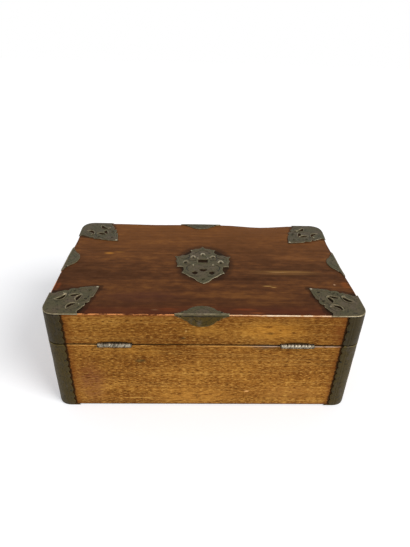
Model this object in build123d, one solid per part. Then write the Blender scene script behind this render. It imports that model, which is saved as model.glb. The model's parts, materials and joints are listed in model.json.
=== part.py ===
# A money changer's box: a wooden case with a hinged lid, sheet-metal corner straps,
# pierced fittings on the lid, a box lock in the front and a sliding coin till inside.
# The origin is at the middle of the underside. The lock side faces -Y, the hinges +Y.

from build123d import *
import os

# The wooden case, in millimetres
wood_width = 298.2        # left to right over the boards
wood_depth = 189.5        # front to back over the boards
corner_radius = 12.0      # rounding of the four upright corners
wall = 11.0               # front, back and side boards
foot_thickness = 1.0      # metal under the bottom corners, on which the box stands
base_height = 80.5        # wooden base, from underside to rim
seam_gap = 0.5            # open line between base and lid
lid_height = 35.1         # wooden lid, from rim to top, veneer included
veneer = 1.0              # figured sheet over the whole lid
top_board = 8.0
bottom_board = 8.0
rebate = 5.0              # how far the top and bottom boards enter the walls
arris_radius = 0.9        # worn rounding of the lid's top edge

# Clearances
running = 0.3             # between pieces that move past each other
pin_play = 0.05           # hinge pin in the lid's knuckles, on the radius
past = 1.0                # how far a cut runs on past what it cuts

# Sheet-metal fittings
metal = 0.9
strap_width = 17.7        # corner strap on each face, from the corner of the wood
scallop_pitch = 10.0
scallop_depth = 1.7
foot_reach = 24.0         # how far a foot plate runs in under the bottom
fitting_bevel = 0.6       # outer edge of the fittings
relief = 0.6              # height of the raised work on the fittings

# Corner plates, those on the lock side a little larger
front_plate_reach = 48.8  # tip of the plate from both edges of the lid
back_plate_reach = 45.8

# Edge mounts, folded over the lid's top edge
mount_half = 24.5
mount_depth = 14.0
mount_shoulder = 7.4      # depth at which the lobes meet the middle
mount_lobe = 8.0          # width of the lobe at each end
mount_nail_in = 6.5       # nails from the ends of the mount
mount_nail_up = 4.0       # and from the edge of the lid
front_mount_x = 2.7       # set by eye, none of them quite in the middle
back_mount_x = 3.5
left_mount_y = -1.0
right_mount_y = -4.5

# The pierced plate in the middle of the lid
plate_x = 1.4
plate_y = 2.0
plate_tip = 41.4          # the shield's point from its middle
window_width = 10.3
window_height = 6.6
window_frame = 2.0
window_up = 3.2           # middle of the window above the middle of the plate
plate_pin_out = 19.3
plate_pin_up = -0.8
plate_tip_pin = -33.6
top_drop_up = 17.6        # raised drops, measured from the middle of the plate
top_drop_width = 3.6
top_drop_height = 5.4
side_drop_out = 11.4
side_drop_up = 10.6
side_drop_width = 3.2
side_drop_height = 4.5
pin_drop_width = 5.6
pin_drop_height = 7.3
drop_waist = 0.22         # half width of a drop part way up, as a share of its width
drop_waist_up = 0.45      # how far up that is, as a share of its height
drop_belly = 0.55         # how far it bulges below its middle, as a share of its width

# Hand-cut nails with four-sided heads and square shanks
nail_sides = 4
nail_head = 1.3
nail_rise = 0.4
nail_taper = 35           # slope of the head, in degrees
nail_shank = 0.9
nail_length = 6.0
strap_nail_in = 15.2      # from the corner of the wood
base_strap_nails = 2      # in each face of a strap
lid_strap_nails = 1

# Butt hinges
hinge_length = 32.0
left_hinge_inset = 61.1   # middle of each hinge from its end of the box
right_hinge_inset = 63.9
knuckle_radius = 2.25
pin_radius = 1.0
pin_out = 1.3             # pin axis outside the wood
leaf_width = 8.6          # let into the rim, from the outer face
leaf_thickness = 1.2
knuckles = 5
knuckle_gap = 0.3

# Wood screws with countersunk heads
screw_sides = 6
screw_head = 1.9
screw_shank = 0.9
screw_length = 9.0
screw_tip = 1.4
screw_tip_taper = 25      # slope of the tip, in degrees
hinge_screws = 2
hinge_screw_pitch = 19.0

# Box lock, let into the inside of the front board
lock_width = 48.0
lock_drop = 30.0          # below the rim
lock_depth = 8.0
lock_sheet = 0.9
selvedge = 1.2            # lock plate that shows in the rim
selvedge_wing = 6.5       # selvedge past each end of the case
key_drop = 19.5           # keyhole below the rim
key_radius = 2.2
key_slot_width = 2.4
key_slot_drop = 7.0
key_pin_radius = 1.0
lining = 0.7              # metal round the keyhole

# The bolt and the link plate that it locks
tab_out = 12.0            # each tab from the middle of the lock
tab_thickness = 1.6
tab_width = 4.6
tab_drop = 8.0            # below the lid's rim
eye_width = 2.8
eye_height = 3.4
eye_drop = 5.1            # middle of the eye below the lid's rim
tab_play = 0.5            # round each tab in the selvedge
bolt_throw = 4.5
bolt_bar = 7.0
bolt_drop = 16.0          # underside of the bar below the rim
bolt_play = 0.4
prong_width = 1.8
prong_height = 2.0
prong_gap = 0.6           # prong to tab when the bolt is drawn back
prong_reach = 4.3
bolt_arm = 3.0
stump_radius = 1.3
stump_left = -11.0        # studs from the middle of the lock
stump_right = 5.0
talon_radius = 2.2        # notch in the bar that the key's bit turns in
link_length = 62.0
link_width = 7.0
link_thickness = 1.2
link_screw_out = 25.0
spring_strip = 0.4
spring_width = 4.0
spring_rise = 6.0         # height of the bow of the spring
spring_length = 11.0
spring_bow = 6.0          # lowest point from its fixed end
spring_lift = 1.2         # free end above the lowest point
spring_start = -9.0

# Coin till, sliding on two runners
till_below_rim = 3.2
runner_width = 8.0
runner_height = 10.0
till_length = 160.0
till_height = 28.0
till_board = 5.0
till_bottom = 4.0
till_divider = 3.5
till_side_play = 0.6
till_end_play = 0.5
coin_stalls = 4
cove_radius = 14.0
cove_lip = 1.0
finger_radius = 11.0
finger_rise = 4.0         # middle of the finger hole above the till's rim

# Heights and planes that follow from these
base_low = foot_thickness
base_top = base_low + base_height
lid_low = base_top + seam_gap
lid_top = lid_low + lid_height
metal_top = lid_top + metal
key_height = base_top - key_drop
bolt_low = base_top - bolt_drop
till_low = base_top - till_below_rim - till_height
runner_top = till_low - running
half_width = wood_width / 2
half_depth = wood_depth / 2
inner_width = wood_width - 2 * wall
inner_depth = wood_depth - 2 * wall
hinge_centres = {"left": left_hinge_inset - half_width, "right": half_width - right_hinge_inset}
pin_y = half_depth + pin_out
pin_z = (base_top + lid_low) / 2

SIDES = {"front": -1, "back": 1}
ENDS = {"left": -1, "right": 1}
pieces = {}


def slab(width, depth, radius, low, high):
    """A block with rounded upright corners."""
    outline = RectangleRounded(width, depth, radius)
    return Pos(0, 0, low) * extrude(outline, high - low)


def box(x0, x1, y0, y1, z0, z1):
    """A plain block between two corners."""
    middle = Pos((x0 + x1) / 2, (y0 + y1) / 2, (z0 + z1) / 2)
    return middle * Box(x1 - x0, y1 - y0, z1 - z0)


def mirrored(low, high, side):
    """A stretch on the + side of a plane, turned to the side that is asked for."""
    return (low, high) if side > 0 else (-high, -low)


def wood_block(low, high, grow=0.0):
    """The outline of the case as a solid, grown outwards by the thickness of a fitting."""
    return slab(wood_width + 2 * grow, wood_depth + 2 * grow, corner_radius + grow, low, high)


def bevelled(block, group):
    """Breaks the lowest edges of a block (group 0) or its highest ones (group -1)."""
    return chamfer(block.edges().group_by(Axis.Z)[group], fitting_bevel)


lid_block = wood_block(lid_low, lid_top)
lid_block = fillet(lid_block.edges().group_by(Axis.Z)[-1], arris_radius)
# The layer of sheet metal round the lid, out of which the fittings are cut
lid_skin = bevelled(wood_block(lid_low, metal_top, metal), -1) - lid_block


# Wooden boards

def mitred(frame, side_name):
    """One board of a frame, cut at 45 degrees at both ends."""
    reach = wall + rebate
    along, across = (half_width, half_depth) if side_name in SIDES else (half_depth, half_width)
    points = [(-along, -across), (along, -across)]
    points += [(along - reach, reach - across), (reach - along, reach - across)]
    turn = {"front": 0, "right": 90, "back": 180, "left": 270}[side_name]
    wedge = extrude(make_face(Polyline(*points, close=True)), metal_top)
    return frame & (Rot(0, 0, turn) * wedge)


def rebate_block(low, high):
    return box(-inner_width / 2 - rebate, inner_width / 2 + rebate,
               -inner_depth / 2 - rebate, inner_depth / 2 + rebate, low, high)


def case_frames():
    """Walls of the base and of the lid, each as one ring before it is cut into boards."""
    hollow = box(-inner_width / 2, inner_width / 2, -inner_depth / 2, inner_depth / 2, 0, metal_top)
    base = wood_block(base_low, base_top) - hollow
    base -= rebate_block(base_low, base_low + bottom_board)
    lid = lid_block & wood_block(lid_low, lid_top - veneer)
    lid -= hollow
    lid -= rebate_block(lid_top - veneer - top_board, lid_top)
    return base, lid


def make_boards():
    base, lid = case_frames()
    for name in [*SIDES, *ENDS]:
        pieces[f"base_{name}_board"] = mitred(base, name)
        pieces[f"lid_{name}_rail"] = mitred(lid, name)
    pieces["base_bottom_board"] = rebate_block(base_low, base_low + bottom_board)
    pieces["lid_top_board"] = rebate_block(lid_top - veneer - top_board, lid_top - veneer)
    pieces["lid_veneer"] = lid_block & wood_block(lid_top - veneer, lid_top)


# Corner straps

def scallop_edge(low, high):
    """Bulging arcs, one above the other, along the inner edge of a strap."""
    count = max(1, round((high - low) / scallop_pitch))
    step = (high - low) / count
    edge = []
    for number in range(count):
        start = low + number * step
        edge.append(ThreePointArc((0, start), (scallop_depth, start + step / 2), (0, start + step)))
    return edge


def strap_profile(low, high):
    """The face of a strap in side view, 0 at its scalloped edge and running outwards."""
    reach = strap_width + corner_radius
    outside = Polyline((0, high), (-reach, high), (-reach, low), (0, low))
    return make_face(scallop_edge(low, high) + [outside])


def angle_strip(low, high):
    """A metal angle round the front right corner, with both inner edges scalloped."""
    ring = wood_block(low, high, metal) - wood_block(low, high)
    corner = box(0, wood_width, -wood_depth, 0, low, high)
    profile = strap_profile(low, high)
    edge = strap_width - scallop_depth
    front = Plane((half_width - edge, 0, 0), x_dir=(-1, 0, 0), z_dir=(0, 1, 0))
    side = Plane((0, edge - half_depth, 0), x_dir=(0, 1, 0), z_dir=(1, 0, 0))
    across_front = extrude(front * profile, wood_depth, both=True)
    across_side = extrude(side * profile, wood_width, both=True)
    return ring & corner & across_front & across_side


def foot_plate():
    """The strap turned in under the bottom, on which the box stands."""
    sole = bevelled(wood_block(0, foot_thickness, metal), 0)
    x, y = half_width + metal, -half_depth - metal
    corner = Polyline((x, y), (x, y + foot_reach), (x - foot_reach, y), close=True)
    return sole & extrude(make_face(corner), foot_thickness)


def four_corners(shape):
    """The front right shape and its three mirror images."""
    front_left = mirror(shape, Plane.YZ)
    return {
        "front_right": shape,
        "front_left": front_left,
        "back_right": mirror(shape, Plane.XZ),
        "back_left": mirror(front_left, Plane.XZ),
    }


def make_straps():
    base_strap = angle_strip(base_low, base_top) + foot_plate()
    lid_strap = angle_strip(lid_low, lid_top)
    for name, shape in four_corners(base_strap).items():
        pieces[f"base_corner_strap_{name}"] = shape
    for name, shape in four_corners(lid_strap).items():
        pieces[f"lid_corner_strap_{name}"] = shape


# Fittings on the lid, each cut from the skin and pierced

def swap(points):
    """The same points on the other side of the corner's diagonal, in reverse order."""
    return [(v, u) for u, v in reversed(points)]


def sized(points, reach):
    """Points of a pattern drawn 100 wide, brought to the size of the piece."""
    return [(u * reach / 100, v * reach / 100) for u, v in points]


def corner_plate_outline(reach):
    """Measured from the corner inwards along both edges, alike on either side of the diagonal."""
    right = [
        [(76.2, 0), (72.7, 9.7), (74.9, 19.9)],
        [(74.9, 19.9), (82.7, 26.8), (81.0, 38.5)],
        [(81.0, 38.5), (90.0, 45.9), (88.7, 57.6)],
        [(88.7, 57.6), (92.2, 58.4), (94.8, 61.5)],
        [(94.8, 61.5), (97.8, 80.1), (100, 100)],
    ]
    left = [swap(arc) for arc in reversed(right)]
    edges = [ThreePointArc(*sized(arc, reach)) for arc in right + left]
    edges.append(Polyline(*sized([(0, 76.2), (0, 0), (76.2, 0)], reach)))
    return make_face(edges)


def leaf_slit(start, one_side, end, other_side):
    """A slit between two arcs that meet in points at both ends."""
    return make_face([ThreePointArc(start, one_side, end), ThreePointArc(end, other_side, start)])


def corner_plate_piercings(reach):
    """Two curved slits beside the arms, and two more that point to the tip like an arrow."""
    beside = [(49.4, 18.6), (51.5, 32.9), (67.5, 36.4), (57.6, 28.1)]
    arrow = [(45.0, 63.6), (57.1, 59.7), (68.0, 68.0), (56.3, 67.5)]
    holes = Sketch()
    for slit in (beside, arrow):
        holes += leaf_slit(*sized(slit, reach)) + leaf_slit(*sized([(v, u) for u, v in slit], reach))
    return holes


CORNER_NAILS = [(83.5, 83.5), (51.9, 80.5), (80.5, 51.9)]
PLATE_REACH = {"front": front_plate_reach, "back": back_plate_reach}


def to_corner(shape, side_x, side_y):
    """Takes a shape drawn inwards from the origin to one corner of the lid."""
    if side_x > 0:
        shape = mirror(shape, Plane.YZ)
    if side_y > 0:
        shape = mirror(shape, Plane.XZ)
    return Pos(side_x * (half_width + metal), side_y * (half_depth + metal), lid_top) * shape


def make_corner_plates():
    for side_name, side_y in SIDES.items():
        reach = PLATE_REACH[side_name]
        sheet = extrude(corner_plate_outline(reach) - corner_plate_piercings(reach), metal)
        for end_name, side_x in ENDS.items():
            pieces[f"lid_corner_plate_{side_name}_{end_name}"] = to_corner(sheet, side_x, side_y) & lid_skin


def mount_outline():
    """A bracket: small lobes at both ends and a dome in the middle."""
    neck = mount_half - mount_lobe
    right = [
        [(mount_half, 0), (mount_half + 0.6, 1.6), (mount_half - 1.4, 2.6)],
        [(mount_half - 1.4, 2.6), (mount_half - 4.6, 4.0), (neck, mount_shoulder)],
    ]
    left = [[(-x, y) for x, y in reversed(arc)] for arc in reversed(right)]
    dome = [[(neck, mount_shoulder), (0, mount_depth), (-neck, mount_shoulder)]]
    edges = [ThreePointArc(*arc) for arc in right + dome + left]
    edges.append(Line((-mount_half, 0), (mount_half, 0)))
    return make_face(edges)


def edge_mount(depth):
    """A fitting folded over the front edge of a lid of this depth."""
    face = mount_outline()
    edge_y = -depth / 2 - metal
    on_top = Pos(0, edge_y, lid_top) * extrude(face, metal)
    down = Plane((0, edge_y, metal_top), x_dir=(1, 0, 0), z_dir=(0, 1, 0))
    return on_top + extrude(down * face, metal)


def make_edge_mounts():
    """One in the middle of each side of the lid."""
    places = {
        "front": (0, front_mount_x, wood_depth),
        "back": (180, -back_mount_x, wood_depth),
        "left": (270, -left_mount_y, wood_width),
        "right": (90, right_mount_y, wood_width),
    }
    for name, (turn, along, across) in places.items():
        shape = Rot(0, 0, turn) * Pos(along, 0, 0) * edge_mount(across)
        pieces[f"lid_edge_mount_{name}"] = shape & lid_skin


def plate_outline():
    """The shield, with its crown up and its point down."""
    right = [
        [(0, 88.4), (12.1, 76.8), (35.3, 68.6)],
        [(35.3, 68.6), (31.2, 60.4), (33.3, 50.7)],
        [(33.3, 50.7), (52.2, 36.7), (75.4, 33.3)],
        [(75.4, 33.3), (70.5, 7.2), (67.1, -20.3)],
        [(67.1, -20.3), (59.9, -21.7), (52.7, -20.3)],
        [(52.7, -20.3), (50.2, -35.3), (54.6, -50.2)],
        [(54.6, -50.2), (39.6, -66.7), (21.3, -79.7)],
        [(21.3, -79.7), (12.6, -91.3), (0, -100)],
    ]
    left = [[(-x, y) for x, y in reversed(arc)] for arc in reversed(right)]
    return make_face([ThreePointArc(*sized(arc, plate_tip)) for arc in right + left])


def plate_piercings():
    """The window, two leaves and a heart below it."""
    holes = Pos(0, window_up) * Rectangle(window_width, window_height)
    for side in (-1, 1):
        kidney = [(side * 13.5, -48.3), (side * 22.2, -41.5), (side * 29.5, -49.3), (side * 20.8, -57.0)]
        holes += leaf_slit(*sized(kidney, plate_tip))
    heart = [[(-10.1, -34.8), (-5.3, -31.4), (0, -34.3)], [(0, -34.3), (5.3, -31.4), (10.1, -34.8)]]
    heart += [[(10.1, -34.8), (6.3, -41.1), (0, -44.4)], [(0, -44.4), (-6.3, -41.1), (-10.1, -34.8)]]
    return holes + make_face([ThreePointArc(*sized(arc, plate_tip)) for arc in heart])


def drop(width, height):
    """A drop standing on its round end."""
    waist, up = width * drop_waist, height * drop_waist_up
    right = ThreePointArc((0, height), (waist, up), (width / 2, 0))
    bottom = ThreePointArc((width / 2, 0), (0, -width * drop_belly), (-width / 2, 0))
    left = ThreePointArc((-width / 2, 0), (-waist, up), (0, height))
    return make_face([right, bottom, left])


def plate_relief():
    """Frame of the window, drops above it and a raised seat at each side pin."""
    frame = Rectangle(window_width + 2 * window_frame, window_height + 2 * window_frame)
    work = Pos(0, window_up) * (frame - Rectangle(window_width, window_height))
    work += Pos(0, top_drop_up) * drop(top_drop_width, top_drop_height)
    for side in (-1, 1):
        work += Pos(side * side_drop_out, side_drop_up) * drop(side_drop_width, side_drop_height)
        work += Pos(side * plate_pin_out, plate_pin_up) * drop(pin_drop_width, pin_drop_height)
    return work


def make_centre_plate():
    plate = extrude(plate_outline() - plate_piercings(), metal)
    plate += extrude(plate_relief(), metal + relief)
    pieces["lid_centre_plate"] = plate_place() * plate


def plate_place():
    """The shield's point lies towards the hinges."""
    return Pos(plate_x, plate_y, lid_top) * Rot(0, 0, 180)


# Nails

def nail():
    """Head up, with its underside at the origin."""
    head = extrude(RegularPolygon(nail_head, nail_sides), nail_rise, taper=nail_taper)
    shank = Pos(0, 0, -nail_length / 2) * Box(nail_shank, nail_shank, nail_length)
    return head + shank


def strap_nails(low, high, count):
    """Nails in both faces of all four straps, evenly spread from end to end."""
    space = (high - low) / count
    heights = [low + (number + 0.5) * space for number in range(count)]
    out = metal
    placed = []
    for height in heights:
        for sign in (-1, 1):
            for side in (-1, 1):
                x = sign * (half_width - strap_nail_in)
                y = side * (half_depth - strap_nail_in)
                placed.append(Pos(x, side * (half_depth + out), height) * Rot(-side * 90, 0, 0) * nail())
                placed.append(Pos(sign * (half_width + out), y, height) * Rot(0, sign * 90, 0) * nail())
    return placed


def fitting_nails():
    """Nails through the corner plates, the edge mounts and the middle plate."""
    placed = []
    for side_name, side_y in SIDES.items():
        for side_x in ENDS.values():
            for u, v in sized(CORNER_NAILS, PLATE_REACH[side_name]):
                x = side_x * (half_width + metal - u)
                y = side_y * (half_depth + metal - v)
                placed.append(Pos(x, y, metal_top) * nail())
    for x in (-plate_pin_out, plate_pin_out):
        placed.append(plate_place() * Pos(x, plate_pin_up, metal + relief) * nail())
    placed.append(plate_place() * Pos(0, plate_tip_pin, metal) * nail())
    return placed + mount_nails()


def mount_nails():
    """Two on the top of each edge mount."""
    out = mount_half - mount_nail_in
    places = [
        (0, front_mount_x, half_depth), (180, -back_mount_x, half_depth),
        (270, -left_mount_y, half_width), (90, right_mount_y, half_width),
    ]
    placed = []
    for turn, along, across in places:
        for side in (-out, out):
            y = mount_nail_up - across - metal
            placed.append(Rot(0, 0, turn) * Pos(along + side, y, metal_top) * nail())
    return placed


# Screws

def screw():
    """Countersunk and faceted, with its flat head flush at the origin and its tip below."""
    neck = screw_head - screw_shank
    head = extrude(RegularPolygon(screw_head, screw_sides), neck, taper=45)
    shank = extrude(RegularPolygon(screw_shank, screw_sides), screw_length - screw_tip)
    tip = extrude(RegularPolygon(screw_shank, screw_sides), screw_tip, taper=screw_tip_taper)
    return Rot(180, 0, 0) * (head + shank + Pos(0, 0, screw_length - screw_tip) * tip)


def cut_from(names, tools):
    """Takes the space of the given pieces out of the named ones."""
    for name in names:
        pieces[name] = pieces[name] - tools


# Hinges

def along_x(radius, x0, x1):
    """A cylinder on the line of the hinge pins."""
    return Pos((x0 + x1) / 2, pin_y, pin_z) * Rot(0, 90, 0) * Cylinder(radius, x1 - x0)


def leaf_level(of_lid):
    """Underside and top of a leaf."""
    return (lid_low, lid_low + leaf_thickness) if of_lid else (base_top - leaf_thickness, base_top)


def hinge_leaf(centre, of_lid):
    """A leaf with its knuckles: the base has the first, third and fifth."""
    start = centre - hinge_length / 2
    step = hinge_length / knuckles
    low, high = leaf_level(of_lid)
    leaf = box(start, start + hinge_length, half_depth - leaf_width, pin_y, low, high)
    for number in range(knuckles):
        x0, x1 = start + number * step, start + (number + 1) * step
        if (number % 2 == 1) == of_lid:
            x0 += knuckle_gap / 2 if number > 0 else 0
            x1 -= knuckle_gap / 2 if number < knuckles - 1 else 0
            leaf += along_x(knuckle_radius, x0, x1)
        else:
            leaf -= along_x(knuckle_radius + running, x0 - knuckle_gap / 2, x1 + knuckle_gap / 2)
    bore = pin_radius + pin_play if of_lid else pin_radius
    return leaf - along_x(bore, start - past, start + hinge_length + past)


def hinge_screw_places(centre, of_lid):
    y = half_depth - leaf_width / 2
    z = lid_low if of_lid else base_top
    for number in range(hinge_screws):
        x = centre + (number - (hinge_screws - 1) / 2) * hinge_screw_pitch
        yield Pos(x, y, z) * (Rot(180, 0, 0) if of_lid else Pos(0, 0, 0))


def make_hinges():
    screws = {"base": [], "lid": []}
    for end_name, centre in hinge_centres.items():
        ends = (centre - hinge_length / 2, centre + hinge_length / 2)
        pieces[f"hinge_pin_{end_name}"] = along_x(pin_radius, *ends)
        barrel = along_x(knuckle_radius + running, ends[0] - running, ends[1] + running)
        for part, board in (("base", "base_back_board"), ("lid", "lid_back_rail")):
            of_lid = part == "lid"
            leaf = hinge_leaf(centre, of_lid)
            placed = [place * screw() for place in hinge_screw_places(centre, of_lid)]
            mortise = box(*ends, half_depth - leaf_width, half_depth + past, *leaf_level(of_lid))
            cut_from([board], [barrel, mortise] + placed)
            pieces[f"hinge_{part}_leaf_{end_name}"] = leaf - placed
            screws[part] += placed
    for part, placed in screws.items():
        pieces[f"hinge_{part}_screws"] = Compound(children=placed)


# Lock

lock_out = -half_depth + wall - lock_depth        # outer face of the lock's case
lock_in = -half_depth + wall                      # its cap, level with the inside of the board
lock_middle = (lock_out + lock_in) / 2
lock_bottom = base_top - lock_drop
lock_half = lock_width / 2


def keyhole(grow=0.0):
    """Keyhole in the front view, with its middle at the origin."""
    slot = Pos(0, -key_slot_drop / 2) * Rectangle(key_slot_width + 2 * grow, key_slot_drop + 2 * grow)
    return Circle(key_radius + grow) + slot


def keyhole_block(y0, y1, grow=0.0):
    front = Plane((0, y0, key_height), x_dir=(1, 0, 0), z_dir=(0, -1, 0))
    return extrude(front * keyhole(grow), y0 - y1)


def stumps():
    """Two studs on the case that the bolt's slots ride on."""
    length = lock_depth - 2 * lock_sheet
    studs = []
    for x in (stump_left, stump_right):
        place = Pos(x, lock_middle, bolt_low + bolt_bar / 2) * Rot(90, 0, 0)
        studs.append(place * Cylinder(stump_radius, length))
    return studs


def tab_slots():
    """Openings in the selvedge that the lid's two tabs drop through."""
    slots = []
    half = tab_thickness / 2 + tab_play
    across = tab_width / 2 + tab_play
    for side in (-1, 1):
        slots.append(box(side * tab_out - half, side * tab_out + half,
                         lock_middle - across, lock_middle + across, base_top - selvedge, base_top))
    return slots


def lock_screws():
    out = lock_half + selvedge_wing / 2
    return [Pos(side * out, lock_middle, base_top) * screw() for side in (-1, 1)]


def make_lock():
    under = base_top - selvedge
    space = box(-lock_half, lock_half, lock_out, lock_in, lock_bottom, under)
    hollow = box(lock_sheet - lock_half, lock_half - lock_sheet,
                 lock_out + lock_sheet, lock_in, lock_bottom + lock_sheet, under)
    wing = lock_half + selvedge_wing
    plate = box(-wing, wing, lock_out, lock_in, under, base_top)
    case = space - hollow + plate + stumps()
    case -= tab_slots() + lock_screws() + [keyhole_block(lock_out + lock_sheet, lock_out)]
    pieces["lock_case"] = case
    cap = box(lock_sheet - lock_half, lock_half - lock_sheet,
              lock_in - lock_sheet, lock_in, lock_bottom + lock_sheet, under)
    pieces["lock_cap"] = cap
    pieces["lock_key_pin"] = key_pin()
    pieces["lock_screws"] = Compound(children=lock_screws())
    lined = keyhole_block(lock_out, -half_depth, lining)
    pieces["keyhole_lining"] = lined - keyhole_block(lock_out, -half_depth)
    cut_from(["base_front_board"], [space, plate, lined] + lock_screws())


def key_pin():
    """The pin in the keyhole, riveted to the cap, that a pipe key turns on."""
    length = lock_in - lock_sheet - lock_out
    return Pos(0, lock_out + length / 2, key_height) * Rot(90, 0, 0) * Cylinder(key_pin_radius, length)


def make_bolt():
    """A bar on two stumps, with two arms whose prongs pass through the tabs' eyes."""
    bar_width = lock_depth - 2 * lock_sheet - 2 * bolt_play
    y0, y1 = lock_middle - bar_width / 2, lock_middle + bar_width / 2
    eye_z = lid_low - eye_drop
    arm_right = tab_out - tab_thickness / 2 - prong_gap - prong_reach
    bar = box(-tab_out * 2 + arm_right - bolt_arm, tab_out + 1, y0, y1, bolt_low, bolt_low + bolt_bar)
    for side in (-1, 1):
        right = side * tab_out - tab_out + arm_right
        bar += box(right - bolt_arm, right, y0, y1, bolt_low + bolt_bar, eye_z + prong_height / 2)
        bar += box(right, right + prong_reach,
                   lock_middle - prong_width / 2, lock_middle + prong_width / 2,
                   eye_z - prong_height / 2, eye_z + prong_height / 2)
    for stud_x in (stump_left, stump_right):
        half = stump_radius + bolt_play
        bar -= box(stud_x - bolt_throw - half, stud_x + half, y0, y1,
                   bolt_low + bolt_bar / 2 - half, bolt_low + bolt_bar / 2 + half)
    bar -= Pos(0, lock_middle, bolt_low) * Rot(90, 0, 0) * Cylinder(talon_radius, bar_width)
    pieces["lock_bolt"] = bar


def make_spring():
    """A bowed strip under the selvedge that presses on the bolt."""
    under = base_top - selvedge
    start, bow, end = spring_start, spring_start + spring_bow, spring_start + spring_length
    low = under - spring_rise
    tip = low + spring_lift
    lower = ThreePointArc((start, under), (bow, low), (end, tip))
    bow_top = low + spring_strip
    upper = ThreePointArc((end, tip + spring_strip), (bow, bow_top), (start + spring_strip, under))
    ribbon = make_face([lower, Line(lower @ 1, upper @ 0), upper, Line(upper @ 1, lower @ 0)])
    side = Plane((0, lock_middle, 0), x_dir=(1, 0, 0), z_dir=(0, -1, 0))
    pieces["lock_spring"] = extrude(side * ribbon, spring_width / 2, both=True)


def make_link_plate():
    """The plate in the lid's front rail, with two tabs riveted in that drop into the lock."""
    y0, y1 = lock_middle - link_width / 2, lock_middle + link_width / 2
    plate = box(-link_length / 2, link_length / 2, y0, y1, lid_low, lid_low + link_thickness)
    upside_down = Rot(180, 0, 0) * screw()
    screws = [Pos(side * link_screw_out, lock_middle, lid_low) * upside_down for side in (-1, 1)]
    cut_from(["lid_front_rail"], [plate] + screws)
    eye_z = lid_low - eye_drop
    tabs = []
    for side in (-1, 1):
        x = side * tab_out
        half = tab_thickness / 2
        tab = box(x - half, x + half, lock_middle - tab_width / 2, lock_middle + tab_width / 2,
                  lid_low - tab_drop, lid_low + link_thickness)
        tab -= box(x - half, x + half, lock_middle - eye_width / 2, lock_middle + eye_width / 2,
                   eye_z - eye_height / 2, eye_z + eye_height / 2)
        tabs.append(tab)
    pieces["link_plate"] = plate - screws - tabs
    pieces["link_tabs"] = Compound(children=tabs)
    pieces["link_screws"] = Compound(children=screws)


# Coin till

def make_till():
    left = till_end_play - inner_width / 2
    right = left + till_length
    half = inner_depth / 2 - till_side_play
    low = till_low
    floor = low + till_bottom
    top = low + till_height
    pieces["till_bottom_board"] = box(left, right, -half, half, low, floor)
    for name, side in SIDES.items():
        y0, y1 = mirrored(half - till_board, half, side)
        pieces[f"till_{name}_board"] = box(left, right, y0, y1, floor, top)
    for name, x in (("left", left), ("right", right - till_board)):
        board = box(x, x + till_board, till_board - half, half - till_board, floor, top)
        place = Pos(x + till_board / 2, 0, top + finger_rise) * Rot(0, 90, 0)
        pieces[f"till_{name}_board"] = board - place * Cylinder(finger_radius, till_board)
    inside = (left + till_board, right - till_board)
    long_half = till_divider / 2
    pieces["till_long_divider"] = box(*inside, -long_half, long_half, floor, top - till_divider)
    fill_till(inside, half - till_board, floor, top - till_divider)
    for name, side in SIDES.items():
        y0, y1 = mirrored(inner_depth / 2 - runner_width, inner_depth / 2, side)
        pieces[f"till_runner_{name}"] = box(-inner_width / 2, inner_width / 2, y0, y1,
                                            runner_top - runner_height, runner_top)


def fill_till(inside, reach, floor, top):
    """Cross dividers, and a hollow cove at both ends of each coin stall."""
    left, right = inside
    stall = (right - left - (coin_stalls - 1) * till_divider) / coin_stalls
    dividers, coves = [], []
    for number in range(coin_stalls):
        x0 = left + number * (stall + till_divider)
        x1 = x0 + stall
        if number:
            dividers.append(box(x0 - till_divider, x0, -reach, -till_divider / 2, floor, top))
        coves.append(cove(x0, x1, -reach, 1, floor))
        coves.append(cove(x0, x1, -till_divider / 2, -1, floor))
    middle = (left + right) / 2
    half = till_divider / 2
    dividers.append(box(middle - half, middle + half, half, reach, floor, top))
    pieces["till_cross_dividers"] = Compound(children=dividers)
    pieces["till_coves"] = Compound(children=coves)


def cove(x0, x1, y, way, floor):
    """A quarter-round hollow that lets a finger sweep the coins up and out."""
    size = cove_radius + cove_lip
    y0, y1 = sorted((y, y + way * cove_radius))
    block = box(x0, x1, y0, y1, floor, floor + size)
    place = Pos((x0 + x1) / 2, y + way * size, floor + size) * Rot(0, 90, 0)
    return block - place * Cylinder(cove_radius, x1 - x0)


def make_nails():
    """Drives the nails and leaves their holes in what they pass through."""
    base = strap_nails(base_low, base_top, base_strap_nails)
    lid = strap_nails(lid_low, lid_top, lid_strap_nails) + fitting_nails()
    cut_from([name for name in pieces if name.startswith("base_")], base)
    cut_from([name for name in pieces if name.startswith("lid_")], lid)
    pieces["base_nails"] = Compound(children=base)
    pieces["lid_nails"] = Compound(children=lid)


make_boards()
make_straps()
make_corner_plates()
make_edge_mounts()
make_centre_plate()
make_nails()
make_hinges()
make_lock()
make_bolt()
make_spring()
make_link_plate()
make_till()

os.makedirs("parts", exist_ok=True)
for name, shape in pieces.items():
    export_step(shape, f"parts/{name}.step")
print(len(pieces), "pieces")
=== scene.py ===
# %% [markdown]
# The box is a wooden case with a hinged lid, dressed with beaten sheet metal at its corners and
# edges. Its lock, screws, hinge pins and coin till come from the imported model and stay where
# they are. This lesson dresses that model: it gives every surface its finish, and replaces the
# boards, fittings, nails and hinge barrels, which a flat model leaves too crisp.

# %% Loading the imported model
import json
import math
import re
from contextlib import contextmanager

import bpy
import numpy as np
from mathutils import Matrix, Vector, noise

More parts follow.
